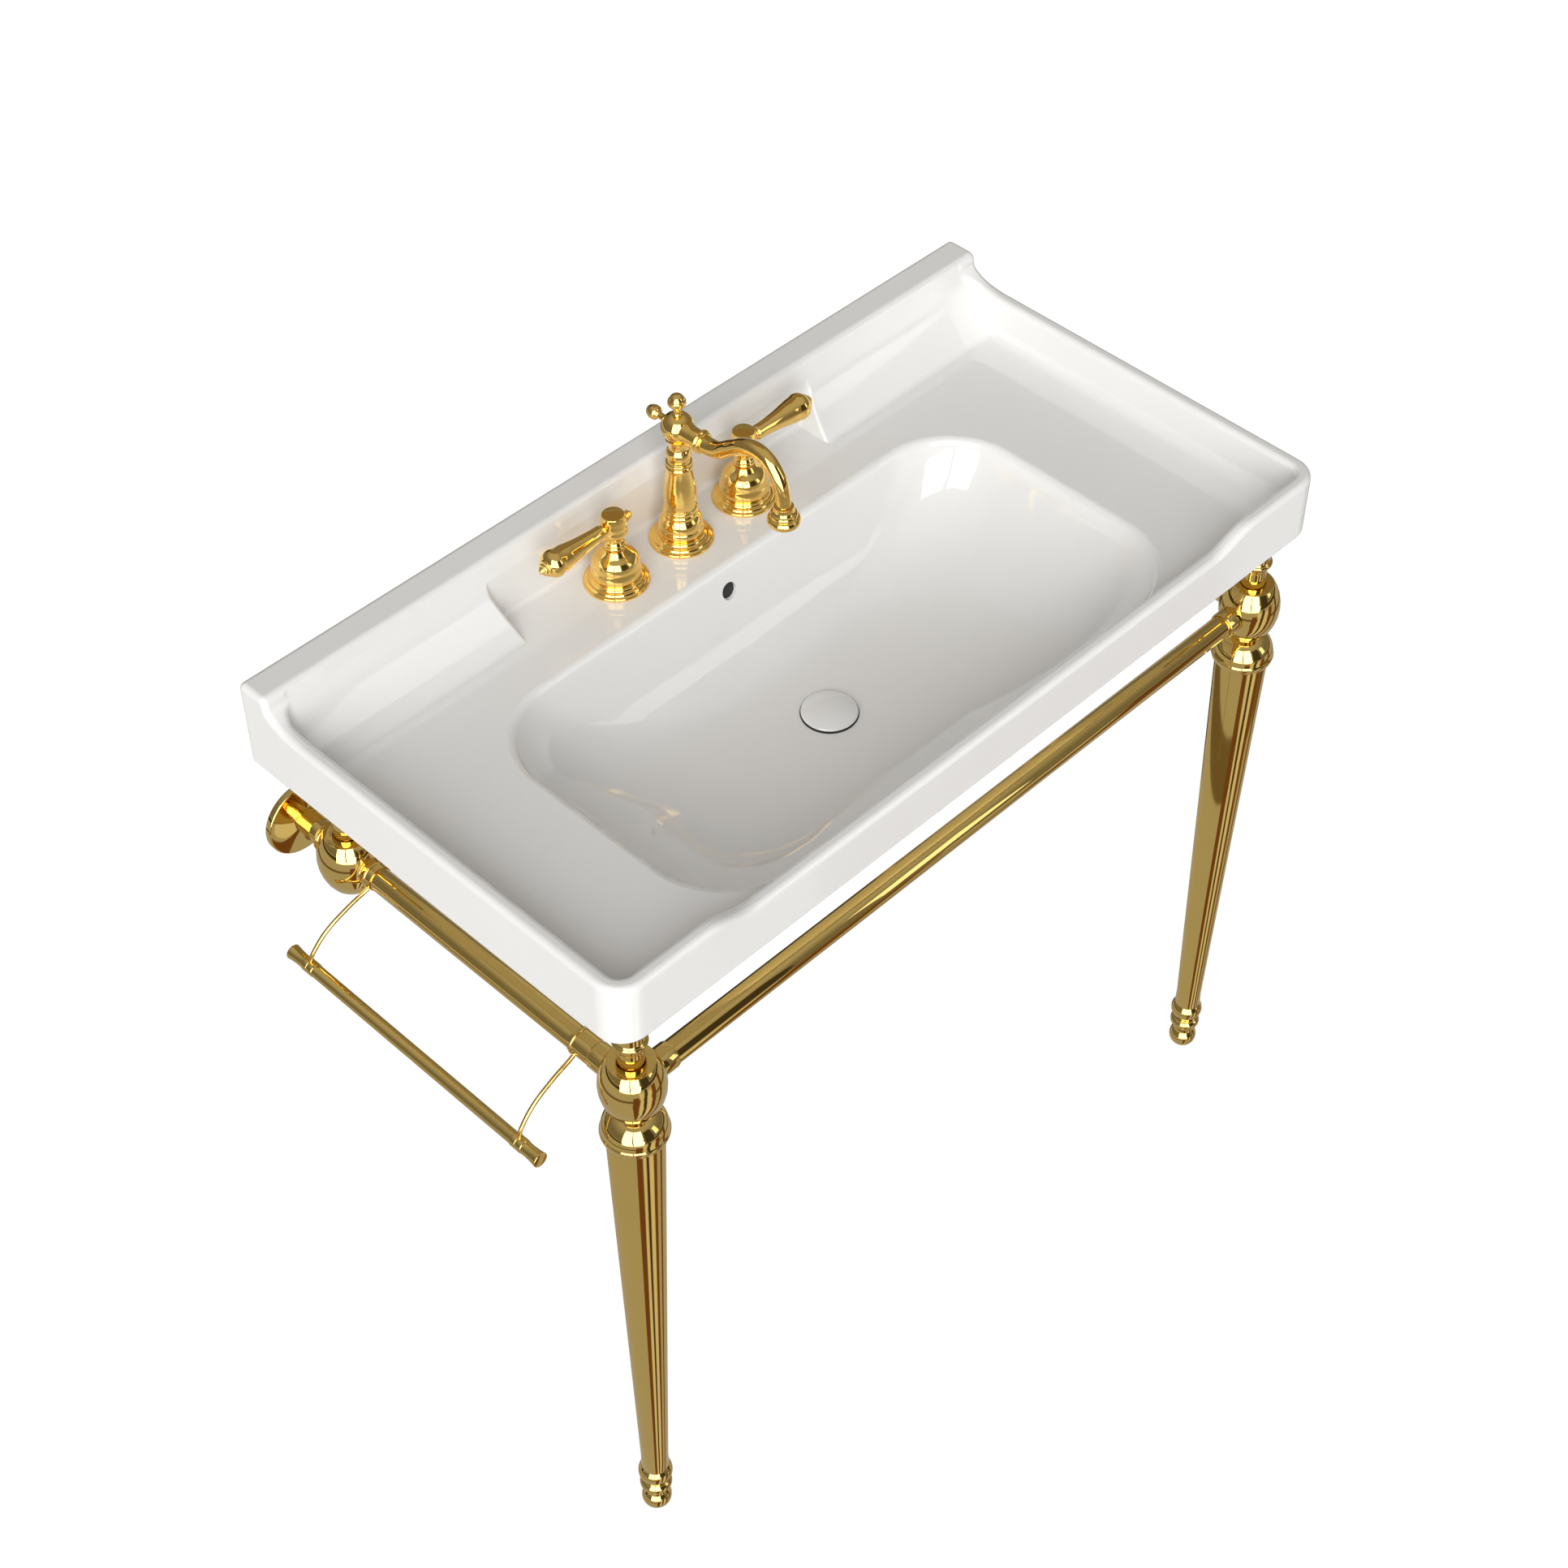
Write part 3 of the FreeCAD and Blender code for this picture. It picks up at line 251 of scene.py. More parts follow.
def arc_points(start: Corner, end: Corner, bulge: float, step: float) -> list[tuple[float, float]]:
    """Points after the start of an arc that stands out by a bulge on the right of its chord.

    Args:
        start: First corner.
        end: Last corner.
        bulge: Height of the arc over its chord; negative bends it the other way.
        step: Largest turn between two points, in degrees.

    Returns:
        The arc's points, with its end and without its start.
    """
    a = Vector(start[:2])
    b = Vector(end[:2])
    chord = b - a
    half = chord.length / 2
    radius = (half * half + bulge * bulge) / (2 * abs(bulge))
    across = Vector((chord.y, -chord.x)).normalized() * (1 if bulge > 0 else -1)
    centre = (a + b) / 2 - across * (radius - abs(bulge))
    turn = 2 * math.asin(min(1.0, half / radius))
    if abs(bulge) > radius:
        turn = 2 * math.pi - turn
    if bulge < 0:
        turn = -turn
    count = max(2, math.ceil(abs(math.degrees(turn)) / step))
    spoke = a - centre
    points = []
    for index in range(1, count + 1):
        angle = turn * index / count
        points.append(
            (
                centre.x + spoke.x * math.cos(angle) - spoke.y * math.sin(angle),
                centre.y + spoke.x * math.sin(angle) + spoke.y * math.cos(angle),
            )
        )
    return points


def outline_points(outline: Outline, step: float = 9.0) -> list[tuple[float, float]]:
    """Corners of a closed outline with its arcs divided.

    Args:
        outline: Corners of (radius, height) or (radius, height, bulge) in millimetres.
        step: Largest turn between two points of an arc, in degrees.

    Returns:
        The points in order, with no point twice.
    """
    points: list[tuple[float, float]] = []
    for index, corner in enumerate(outline):
        start = outline[index - 1]
        if len(corner) == 3:
            points.extend(arc_points(start, corner, corner[2], step))
        else:
            points.append((corner[0], corner[1]))
    kept = [points[0]]
    for point in points[1:]:
        if math.dist(point, kept[-1]) > SAME_POINT:
            kept.append(point)
    if math.dist(kept[0], kept[-1]) < SAME_POINT:
        kept.pop()
    return kept


def dome(radius: float, height: float, rise: float) -> Outline:
    """Last two corners of an outline that ends in a spherical cap on the axis.

    Args:
        radius: Radius where the cap starts.
        height: Height where the cap starts.
        rise: Height of the cap.

    Returns:
        The cap's first corner and its top.
    """
    ball = (radius * radius + rise * rise) / (2 * rise)
    half_turn = math.atan2(radius, ball - rise) / 2
    return [(radius, height), (0.0, height + rise, ball * (1 - math.cos(half_turn)))]


def soften(piece: bpy.types.Object, width: float, angle: float = 30.0) -> None:
    """Round a piece's sharp edges with a fine bevel and shade the rest smooth.

    Args:
        piece: The piece, which becomes the active one.
        width: Width of the bevel in millimetres.
        angle: Edges sharper than this are rounded, in degrees.
    """
    bpy.context.view_layer.objects.active = piece
    piece.select_set(True)
    if width > 0:
        bevel = piece.modifiers.new("edges", "BEVEL")
        bevel.limit_method = "ANGLE"
        bevel.angle_limit = math.radians(angle)
        bevel.width = width * MM
        bevel.segments = 2
        bevel.use_clamp_overlap = True
        bpy.ops.object.modifier_apply(modifier="edges")
    bpy.ops.object.shade_smooth_by_angle(angle=math.radians(EVEN_SHADING_ANGLE))
    piece.select_set(False)


def turned(
    name: str,
    outline: Outline,
    at: Point,
    direction: Point = (0, 0, 1),
    edge: float = 0.25,
    steps: int = 72,
) -> bpy.types.Object:
    """Spin an outline about an axis, as on a lathe.

    Args:
        name: Name of the piece.
        outline: Closed outline of (radius, height[, bulge]) corners in millimetres.
        at: Foot of the axis in millimetres.
        direction: Direction of the axis.
        edge: Width of the rounding of sharp edges in millimetres.
        steps: Number of facets round the axis.

    Returns:
        The finished piece, with its place in its mesh.
    """
    clear_selection()
    points = outline_points(outline)
    bpy.ops.mesh.primitive_circle_add(vertices=len(points), radius=10 * MM)
    piece = bpy.context.object
    piece.name = name
    for vertex, (radius, height) in zip(piece.data.vertices, points):
        vertex.co = (radius * MM, 0.0, height * MM)
        vertex.select = False
    on_axis = {vertex.index for vertex in piece.data.vertices if abs(vertex.co.x) < 1e-8}
    for edge_item in piece.data.edges:
        edge_item.select = all(index in on_axis for index in edge_item.vertices)
    bpy.ops.object.mode_set(mode="EDIT")
    bpy.ops.mesh.select_mode(type="EDGE")
    bpy.ops.mesh.delete(type="EDGE")
    bpy.ops.mesh.select_all(action="SELECT")
    bpy.ops.mesh.spin(steps=steps, angle=2 * math.pi, center=(0, 0, 0), axis=(0, 0, 1))
    bpy.ops.mesh.select_all(action="SELECT")
    bpy.ops.mesh.remove_doubles(threshold=0.002 * MM)
    bpy.ops.mesh.normals_make_consistent(inside=False)
    bpy.ops.object.mode_set(mode="OBJECT")
    turn = Vector((0, 0, 1)).rotation_difference(Vector(direction)).to_matrix().to_4x4()
    piece.data.transform(Matrix.Translation(Vector(at) * MM) @ turn)
    soften(piece, edge)
    return piece


def mirrored(outline: Outline) -> Outline:
    """An outline from the axis outwards, completed by its own mirror image.

    Args:
        outline: The lower half, from the axis outwards and up.

    Returns:
        The whole outline.
    """
    other = []
    for corner, following in zip(outline[::-1], [None] + outline[::-1]):
        bulge = following[2:] if following else ()
        other.append((corner[0], -corner[1], *bulge))
    return outline + other


def swept(name: str, line: list[Point], radii: list[float], sides: int = 24) -> bpy.types.Object:
    """Draw a round bar along a smooth line.

    Args:
        name: Name of the piece.
        line: Points of the line in millimetres.
        radii: Radius at each point in millimetres.
        sides: Number of facets round the bar.

    Returns:
        The finished piece.
    """
    clear_selection()
    curve = bpy.data.curves.new(name, "CURVE")
    curve.dimensions = "3D"
    curve.bevel_depth = MM
    curve.bevel_resolution = sides // 4
    curve.resolution_u = 12
    curve.use_fill_caps = True
    spline = curve.splines.new("BEZIER")
    spline.bezier_points.add(len(line) - 1)
    for knot, place, radius in zip(spline.bezier_points, line, radii):
        knot.co = Vector(place) * MM
        knot.radius = radius
        knot.handle_left_type = "AUTO"
        knot.handle_right_type = "AUTO"
    piece = bpy.data.objects.new(name, curve)
    bpy.context.scene.collection.objects.link(piece)
    bpy.context.view_layer.objects.active = piece
    piece.select_set(True)
    bpy.ops.object.convert(target="MESH")
    piece = bpy.context.object
    soften(piece, 0.0)
    return piece


@dataclass
class Assembly:
    """A sub-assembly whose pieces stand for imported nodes."""

    palette: Palette

    def finish(
        self, piece: bpy.types.Object, node: str, slot: Slot, body: Body = Body.CONSOLE
    ) -> bpy.types.Object:
        """Dress a piece, put it on its body and let it stand for a node.

        Args:
            piece: The finished mesh.
            node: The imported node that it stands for.
            slot: The finish it takes.
            body: The body it rides on.

        Returns:
            The same piece.
        """
        self.palette.dress(piece, slot)
        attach(piece, body.value)
        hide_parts(node)
        LOG.info("%s stands for %s: %d faces", piece.name, node, len(piece.data.polygons))
        return piece

    def extra(self, piece: bpy.types.Object, slot: Slot, body: Body = Body.CONSOLE) -> None:
        """Dress a piece that stands for no node and put it on its body.

        Args:
            piece: The finished mesh.
            slot: The finish it takes.
            body: The body it rides on.
        """
        self.palette.dress(piece, slot)
        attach(piece, body.value)
        LOG.info("%s added: %d faces", piece.name, len(piece.data.polygons))


def joined(name: str, pieces: list[bpy.types.Object]) -> bpy.types.Object:
    """Join separate meshes into one piece.

    Args:
        name: Name of the joined piece.
        pieces: The meshes to join.

    Returns:
        The joined piece.
    """
    clear_selection()
    for piece in pieces:
        piece.select_set(True)
    bpy.context.view_layer.objects.active = pieces[0]
    bpy.ops.object.join()
    pieces[0].name = name
    pieces[0].select_set(False)
    return pieces[0]


# ---------------------------------------------------------------- the frame


class Corner4(Enum):
    """The four corners of the frame and where their hubs stand."""

    FRONT_LEFT = ("front_left", -LEG_X, FRONT_Y)
    FRONT_RIGHT = ("front_right", LEG_X, FRONT_Y)
    REAR_LEFT = ("rear_left", -LEG_X, REAR_Y)
    REAR_RIGHT = ("rear_right", LEG_X, REAR_Y)

    @property
    def label(self) -> str:
        """Start of the corner's node names."""
        return self.value[0]

    @property
    def at(self) -> Point:
        """Centre of the hub."""
        return (self.value[1], self.value[2], 0.0)


@dataclass
class Hubs(Assembly):
    """Ball hubs with their short posts and cups."""

    ball: float = 31.2
    half: float = 31.0
    flat: float = 22.0
    groove: float = 13.1
    post: float = 12.5
    cup: float = 15.5
    seat: float = 109.5

    def build(self) -> None:
        """Make the hub and the post of every corner."""
        for corner in Corner4:
            self.finish(self.hub(corner), f"{corner.label}_hub", Slot.FRAME)
            self.finish(self.post_piece(corner), f"{corner.label}_post", Slot.FRAME)

    def hub(self, corner: Corner4) -> bpy.types.Object:
        """A ball with two flats and a fine groove round the post.

        Args:
            corner: The corner it stands at.

        Returns:
            The finished piece.
        """
        outline: Outline = [
            (0.0, -self.half),
            (self.flat, -self.half),
            (self.flat, self.half, self.ball - self.flat),
            (self.groove, self.half),
            (self.groove, self.half - 2.5),
            (0.0, self.half - 2.5),
        ]
        return turned(f"{corner.label}_ball_hub", outline, corner.at, edge=0.3, steps=96)

    def post_piece(self, corner: Corner4) -> bpy.types.Object:
        """A post that flares into a cup with a rounded lip.

        Args:
            corner: The corner it stands at.

        Returns:
            The finished piece.
        """
        outline: Outline = [
            (0.0, self.half - 2.4),
            (self.post, self.half - 2.4),
            (self.post, 48.0),
            (self.post + 0.6, 53.0, -0.3),
            (self.cup - 0.7, 57.5, -0.6),
            (self.cup - 0.7, 62.5, 1.6),
            (self.cup - 1.8, 64.0),
            (self.cup - 1.8, self.seat),
            (0.0, self.seat),
        ]
        return turned(f"{corner.label}_cup_post", outline, corner.at)


@dataclass
class Rails(Assembly):
    """The front rail, the side rails, their ferrules and the wall brackets."""

    radius: float = 12.0
    ferrule: float = 13.6
    seat: float = 27.0
    socket: float = 17.0
    flange: float = 40.0

    def build(self) -> None:
        """Make every rail, ferrule, wall tube and flange."""
        half = LEG_X - self.socket
        self.finish(self.bar("front_tube", half, (0, FRONT_Y, 0), (1, 0, 0)), "front_rail", Slot.FRAME)
        ends = [
            self.ferrule_piece("front_sleeve_left", Corner4.FRONT_LEFT.at, (1, 0, 0)),
            self.ferrule_piece("front_sleeve_right", Corner4.FRONT_RIGHT.at, (-1, 0, 0)),
        ]
        self.finish(joined("front_sleeves", ends), "front_rail_ferrules", Slot.FRAME)
        middle = (FRONT_Y + REAR_Y) / 2
        half = (REAR_Y - FRONT_Y) / 2 - self.socket
        for side, sign in (("left", -1), ("right", 1)):
            piece = self.bar(f"{side}_tube", half, (sign * LEG_X, middle, 0), (0, 1, 0))
            self.finish(piece, f"{side}_rail", Slot.FRAME)
            ends = [
                self.ferrule_piece(f"{side}_sleeve_front", (sign * LEG_X, FRONT_Y, 0), (0, 1, 0)),
                self.ferrule_piece(f"{side}_sleeve_rear", (sign * LEG_X, REAR_Y, 0), (0, -1, 0), 30.0),
            ]
            self.finish(joined(f"{side}_sleeves", ends), f"{side}_rail_ferrules", Slot.FRAME)
            self.bracket(side, sign)
        collars = [self.collar(f"wall_neck_{index}", sign) for index, sign in enumerate((-1, 1))]
        self.finish(joined("wall_necks", collars), "wall_collars", Slot.FRAME)

    def bar(self, name: str, half: float, middle: Point, along: Point) -> bpy.types.Object:
        """A plain polished tube.

        Args:
            name: Name of the piece.
            half: Half its length.
            middle: Its middle.
            along: Direction of the tube.

        Returns:
            The finished piece.
        """
        outline: Outline = [(0.0, -half), (self.radius, -half), (self.radius, half), (0.0, half)]
        return turned(name, outline, middle, along)

    def ferrule_piece(self, name: str, at: Point, along: Point, reach: float = 46.0) -> bpy.types.Object:
        """A sleeve over a tube's end with a fine step at its mouth.

        Args:
            name: Name of the piece.
            at: Centre of the hub that it starts from.
            along: Direction of the tube.
            reach: How far from the hub's centre it ends.

        Returns:
            The finished piece.
        """
        outline: Outline = [
            (self.radius + 0.05, self.seat),
            (self.ferrule, self.seat),
            (self.ferrule, reach - 1.4),
            (self.ferrule - 0.5, reach - 0.9),
            (self.ferrule - 0.5, reach),
            (self.radius + 0.05, reach),
        ]
        return turned(name, outline, at, along, edge=0.15)

    def collar(self, name: str, sign: int) -> bpy.types.Object:
        """The thin flared collar where a wall tube enters its hub.

        Args:
            name: Name of the piece.
            sign: -1 on the left and 1 on the right.

        Returns:
            The finished piece.
        """
        outline: Outline = [
            (self.radius + 0.05, self.seat),
            (self.ferrule, self.seat),
            (self.ferrule, self.seat + 3.0),
            (self.ferrule + 2.0, self.seat + 5.5, -0.5),
            (self.ferrule + 1.4, self.seat + 8.0, 0.5),
            (self.radius + 0.05, self.seat + 8.0),
        ]
        return turned(name, outline, (sign * LEG_X, REAR_Y, 0), (0, 1, 0), edge=0.15)

    def bracket(self, side: str, sign: int) -> None:
        """The tube to the wall and its round flange.

        Args:
            side: left or right.
            sign: -1 on the left and 1 on the right.
        """
        end = -REAR_Y - self.socket
        tube: Outline = [(0.0, 4.2), (self.radius, 4.2), (self.radius, end), (0.0, end)]
        at = (sign * LEG_X, 0.0, 0.0)
        self.finish(turned(f"{side}_wall_bar", tube, at, (0, -1, 0)), f"{side}_wall_tube", Slot.FRAME)
        rim = self.flange
        cover: Outline = [
            (26.5, 0.0),
            (rim, 0.0),
            (rim, 5.2),
            (rim - 1.4, 7.0, 0.5),
            (self.radius + 1.6, 9.0),
            (self.radius + 0.05, 9.6),
            (self.radius + 0.05, 4.2),
            (26.5, 4.2),
        ]
        piece = turned(f"{side}_wall_rosette", cover, at, (0, -1, 0), steps=96)
        self.finish(piece, f"{side}_wall_flange", Slot.FRAME)


@dataclass
class Legs(Assembly):
    """The two tapered legs with their domed collars, beads and ball feet."""

    floor: float = -700.0
    collar_rim: float = 32.3
    head: float = 27.2
    shaft: float = 13.9
    bead: float = 17.7
    ball: float = 15.5

    def build(self) -> None:
        """Make the leg, collar and foot of both front corners."""
        for corner in (Corner4.FRONT_LEFT, Corner4.FRONT_RIGHT):
            self.finish(self.leg(corner), f"{corner.label}_leg", Slot.FRAME)
            self.finish(self.collar(corner), f"{corner.label}_collar", Slot.FRAME)
            self.finish(self.foot(corner), f"{corner.label}_foot", Slot.FRAME)

    def leg(self, corner: Corner4) -> bpy.types.Object:
        """A straight taper that ends in two beads.

        Args:
            corner: The corner it stands at.

        Returns:
            The finished piece.
        """
        ankle = self.floor + 90
        neck = self.floor + 31.5
        swell = self.bead - 13.6
        outline: Outline = [
            (0.0, neck),
            (12.2, neck),
            (12.6, neck + 3.5),
            (12.6, neck + 16.5, swell),
            (13.2, neck + 18.0),
            (13.2, neck + 20.0),
            (13.6, neck + 21.0),
            (13.6, neck + 41.0, swell),
            (self.shaft + 0.6, neck + 43.5, -0.4),
            (self.shaft, ankle),
            (self.head, -71.0),
            (0.0, -71.0),
        ]
        return turned(f"{corner.label}_tapered_leg", outline, corner.at, steps=96)

    def collar(self, corner: Corner4) -> bpy.types.Object:
        """A domed cap with a rolled rim and a thin ring under the hub.

        Args:
            corner: The corner it stands at.

        Returns:
            The finished piece.
        """
        rim = self.collar_rim
        outline: Outline = [
            (0.0, -71.0),
            (self.head + 0.3, -71.0),
            (rim - 1.1, -67.0, 1.3),
            (rim - 1.1, -61.0, 1.1),
            (15.0, -38.0, 4.5),
            (15.0, -31.2, 1.7),
            (0.0, -31.2),
        ]
        return turned(f"{corner.label}_domed_collar", outline, corner.at, steps=96)

    def foot(self, corner: Corner4) -> bpy.types.Object:
        """A ball foot cut flat where it stands.

        Args:
            corner: The corner it stands at.

        Returns:
            The finished piece.
        """
        lean = math.radians(71)
        rise = math.radians(44)
        centre = self.floor + self.ball * math.sin(lean)
        low = (self.ball * math.cos(lean), self.floor)
        high = (self.ball * math.cos(rise), centre + self.ball * math.sin(rise))
        bulge = self.ball * (1 - math.cos((lean + rise) / 2))
        outline: Outline = [
            (0.0, self.floor),
            low,
            (*high, bulge),
            (high[0], self.floor + 31.4),
            (0.0, self.floor + 31.4),
        ]
        return turned(f"{corner.label}_ball_foot", outline, corner.at)


@dataclass
class TowelBar(Assembly):
    """The towel bar that hangs from the left rail on two curved arms."""

    line: float = -507.4
    drop: float = -76.0
    radius: float = 6.2
    front: float = -417.5
    back: float = -71.5
    arms: tuple[tuple[str, float, float, float, float], ...] = (
        ("front", -391.0, -390.0, -411.2, -386.5),
        ("back", -110.0, -99.0, -117.8, -104.8),
    )

    def build(self) -> None:
        """Make the bar and its two arms."""
        self.finish(self.bar(), "towel_bar", Slot.FRAME)
        for name, rail_y, bar_y, start, end in self.arms:
            pieces = [
                self.sleeve(f"towel_sleeve_{name}", rail_y, start, end),
                self.arm(f"towel_wire_{name}", rail_y, bar_y),
            ]
            self.finish(joined(f"towel_hanger_{name}", pieces), f"towel_arm_{name}", Slot.FRAME)

    def bar(self) -> bpy.types.Object:
        """A thin bar with flared ends and a raised band at each arm.

        Returns:
            The finished piece.
        """
        half = (self.back - self.front) / 2
        ring = half - 27.5
        radius = self.radius
        outline: Outline = [
            (0.0, -half),
            (radius + 0.9, -half),
            (radius + 1.6, -half + 0.8, 0.2),
            (radius + 1.3, -half + 3.0),
            (radius + 0.4, -half + 14.0, -0.15),
            (radius + 0.4, -ring - 7.0),
            (radius + 1.0, -ring - 6.6),
            (radius + 1.0, -ring - 1.0),
            (radius + 0.7, -ring - 0.7),
            (radius + 0.7, -ring + 0.7),
            (radius + 1.0, -ring + 1.0),
            (radius + 1.0, -ring + 6.6),
            (radius + 0.4, -ring + 7.0),
        ]
        middle = (self.line, (self.front + self.back) / 2, self.drop)
        return turned("towel_rod", mirrored(outline), middle, (0, 1, 0), edge=0.12)

    def sleeve(self, name: str, y: float, start: float, end: float) -> bpy.types.Object:
        """The thin sleeve on the rail and the wire bead round it.

        Args:
            name: Name of the piece.
            y: Where the bead lies along the rail.
            start: Where the sleeve starts.
            end: Where the sleeve ends.

        Returns:
            The finished piece.
        """
        outline: Outline = [
            (12.05, start - y),
            (12.95, start - y),
            (12.95, -1.5),
            (12.95, 1.5, 1.45),
            (12.95, end - y),
            (12.05, end - y),
        ]
        return turned(name, outline, (-LEG_X, y, 0), (0, 1, 0), edge=0.12)

    def arm(self, name: str, rail_y: float, bar_y: float) -> bpy.types.Object:
        """The thin arm from the rail out and down to the bar.

        Args:
            name: Name of the piece.
            rail_y: Where it leaves the rail.
            bar_y: Where it meets the bar.

        Returns:
            The finished piece.
        """
        course = [
            (-LEG_X - 8.8, -12.0),
            (-446.0, -15.5),
            (-458.0, -20.5),
            (-470.0, -26.5),
            (-482.0, -33.5),
            (-492.4, -42.0),
            (-501.0, -52.5),
            (-506.2, -61.5),
            (self.line, self.drop + self.radius),
        ]
        count = len(course) - 1
        line = [(x, rail_y + (bar_y - rail_y) * index / count, z) for index, (x, z) in enumerate(course)]
        return swept(name, line, [2.1] * len(line))


# ---------------------------------------------------------------- the faucet


@dataclass
class Spout(Assembly):
    """The column with its ball head, finials, arched spout and aerator."""

    line: float = -78.3
    ball: float = 16.1
    centre: float = 138.0

    def build(self) -> None:
        """Make every piece of the spout."""
        foot = (0.0, self.line, DECK)
        head = (0.0, self.line, DECK + self.centre)
        self.finish(turned("column_rosette", self.rosette(), foot, steps=96), "spout_flange", Slot.FAUCET)
        self.finish(turned("vase_column", self.column(), foot), "spout_column", Slot.FAUCET)
        self.finish(self.head(head), "spout_head", Slot.FAUCET)
        self.finish(turned("top_knob", self.knob(), head), "top_finial", Slot.FAUCET)
        self.finish(turned("rear_knob", self.rear_knob(), head, (0, 1, 0)), "rear_finial", Slot.FAUCET)
        self.finish(self.arch(head), "spout", Slot.FAUCET)
        mouth = (0.0, self.line - 140.0, DECK + 104.0)
        self.finish(turned("aerator_bell", self.bell(), mouth), "aerator", Slot.FAUCET)

    def rosette(self) -> Outline:
        """The stepped foot of the column.

        Returns:
            Its outline.
        """
        return [
            (15.4, 0.0),
            (31.4, 0.0),
            (31.4, 3.4, 0.6),
            (28.0, 5.2, -0.5),
            (25.5, 6.4, 0.5),
            (22.4, 11.0, -1.2),
            (15.4, 11.0),
        ]

    def column(self) -> Outline:
        """A bell, three rings, a vase and a cup under the ball.

        Returns:
            Its outline.
        """
        return [
            (0.0, -20.0),
            (15.3, -20.0),
            (15.3, 11.0),
            (21.4, 11.0),
            (21.0, 20.0, 1.2),
            (16.6, 32.5, 1.6),
            (16.6, 37.0, 0.7),
            (16.0, 37.6),
            (16.2, 42.0, 0.7),
            (14.8, 42.8),
            (15.4, 47.5),
            (15.0, 68.0, 0.9),
            (12.0, 88.0, 0.3),
            (12.8, 89.0),
            (12.8, 93.0, 0.6),
            (12.1, 93.6),
            (12.6, 97.5, 0.6),
            (11.0, 98.4),
            (10.8, 101.0),
            (10.6, 112.5, 1.6),
            (9.6, 115.5, -0.3),
            (13.0, 126.2, -0.9),
            (0.0, 126.2),
        ]

    def head(self, at: Point) -> bpy.types.Object:
        """The ball with the cone that reaches to the spout's ring.

        Args:
            at: Centre of the ball.

        Returns:
            The finished piece.
        """
        low = math.radians(47)
        high = math.radians(72)
        bulge = self.ball * (1 - math.cos((low + high) / 2))
        ball: Outline = [
            (0.0, -self.ball * math.sin(low)),
            (self.ball * math.cos(low), -self.ball * math.sin(low)),
            (self.ball * math.cos(high), self.ball * math.sin(high), bulge),
            (0.0, self.ball * math.sin(high)),
        ]
        cone: Outline = [(0.0, 9.0), (11.9, 9.0), (9.4, 24.0, -0.8), (9.4, 29.0), (0.0, 29.0)]
        pieces = [turned("head_ball", ball, at, steps=96), turned("head_cone", cone, at, (0, -1, 0))]
        return joined("ball_head", pieces)

    def knob(self) -> Outline:
        """The mushroom finial on top.

        Returns:
            Its outline.
        """
        top = self.ball * math.sin(math.radians(72))
        outline: Outline = [
            (0.0, top),
            (5.0, top),
            (3.7, top + 3.0, -0.5),
            (3.7, top + 6.5),
            (5.6, top + 9.0, -0.4),
            (7.0, top + 10.2),
            (8.7, top + 14.4, 0.9),
            (8.0, top + 17.0, 0.4),
        ]
        return outline + dome(7.4, top + 17.4, 6.0)

    def rear_knob(self) -> Outline:
        """The smaller finial behind.

        Returns:
            Its outline.
        """
        outline: Outline = [
            (0.0, 14.2),
            (5.6, 14.2),
            (3.4, 22.0, -0.7),
            (3.4, 24.5),
            (5.0, 26.5),
            (7.1, 31.0, 0.8),
            (6.9, 34.0, 0.2),
        ]
        return outline + dome(6.6, 34.4, 5.8)

    def arch(self, head: Point) -> bpy.types.Object:
        """The S-curved tube with the ring that seats it.

        Args:
            head: Centre of the ball that it leaves.

        Returns:
            The finished piece.
        """
        course = [
            (29.0, -1.0),
            (53.0, 3.0),
            (73.5, 17.0),
            (94.5, 29.8),
            (114.0, 30.7),
            (129.5, 20.0),
            (137.5, 3.5),
            (140.0, -13.0),
        ]
        radii = [8.8, 8.6, 8.2, 8.0, 7.8, 7.6, 7.4, 7.2]
        line = [(0.0, head[1] - away, head[2] + rise) for away, rise in course]
        ring: Outline = [
            (0.0, 29.0),
            (10.6, 29.0),
            (10.6, 33.0, 1.3),
            (10.0, 33.4),
            (10.0, 36.5, 0.9),
            (0.0, 36.5),
        ]
        pieces = [
            swept("spout_tube", line, radii, 48),
            turned("spout_ring", ring, head, (0, -1, 0)),
        ]
        return joined("arched_spout", pieces)

    def bell(self) -> Outline:
        """The bell-shaped aerator with its mesh set back.

        Returns:
            Its outline.
        """
        return [
            (9.5, 4.0),
            (9.5, 0.0),
            (13.4, 0.0),
            (15.3, 3.0, 0.7),
            (15.3, 7.0, 0.7),
            (13.0, 9.0, 0.5),
            (12.4, 13.0, 0.5),
            (9.4, 17.0, -0.7),
            (9.4, 21.0),
            (0.0, 21.0),
            (0.0, 4.0),
        ]


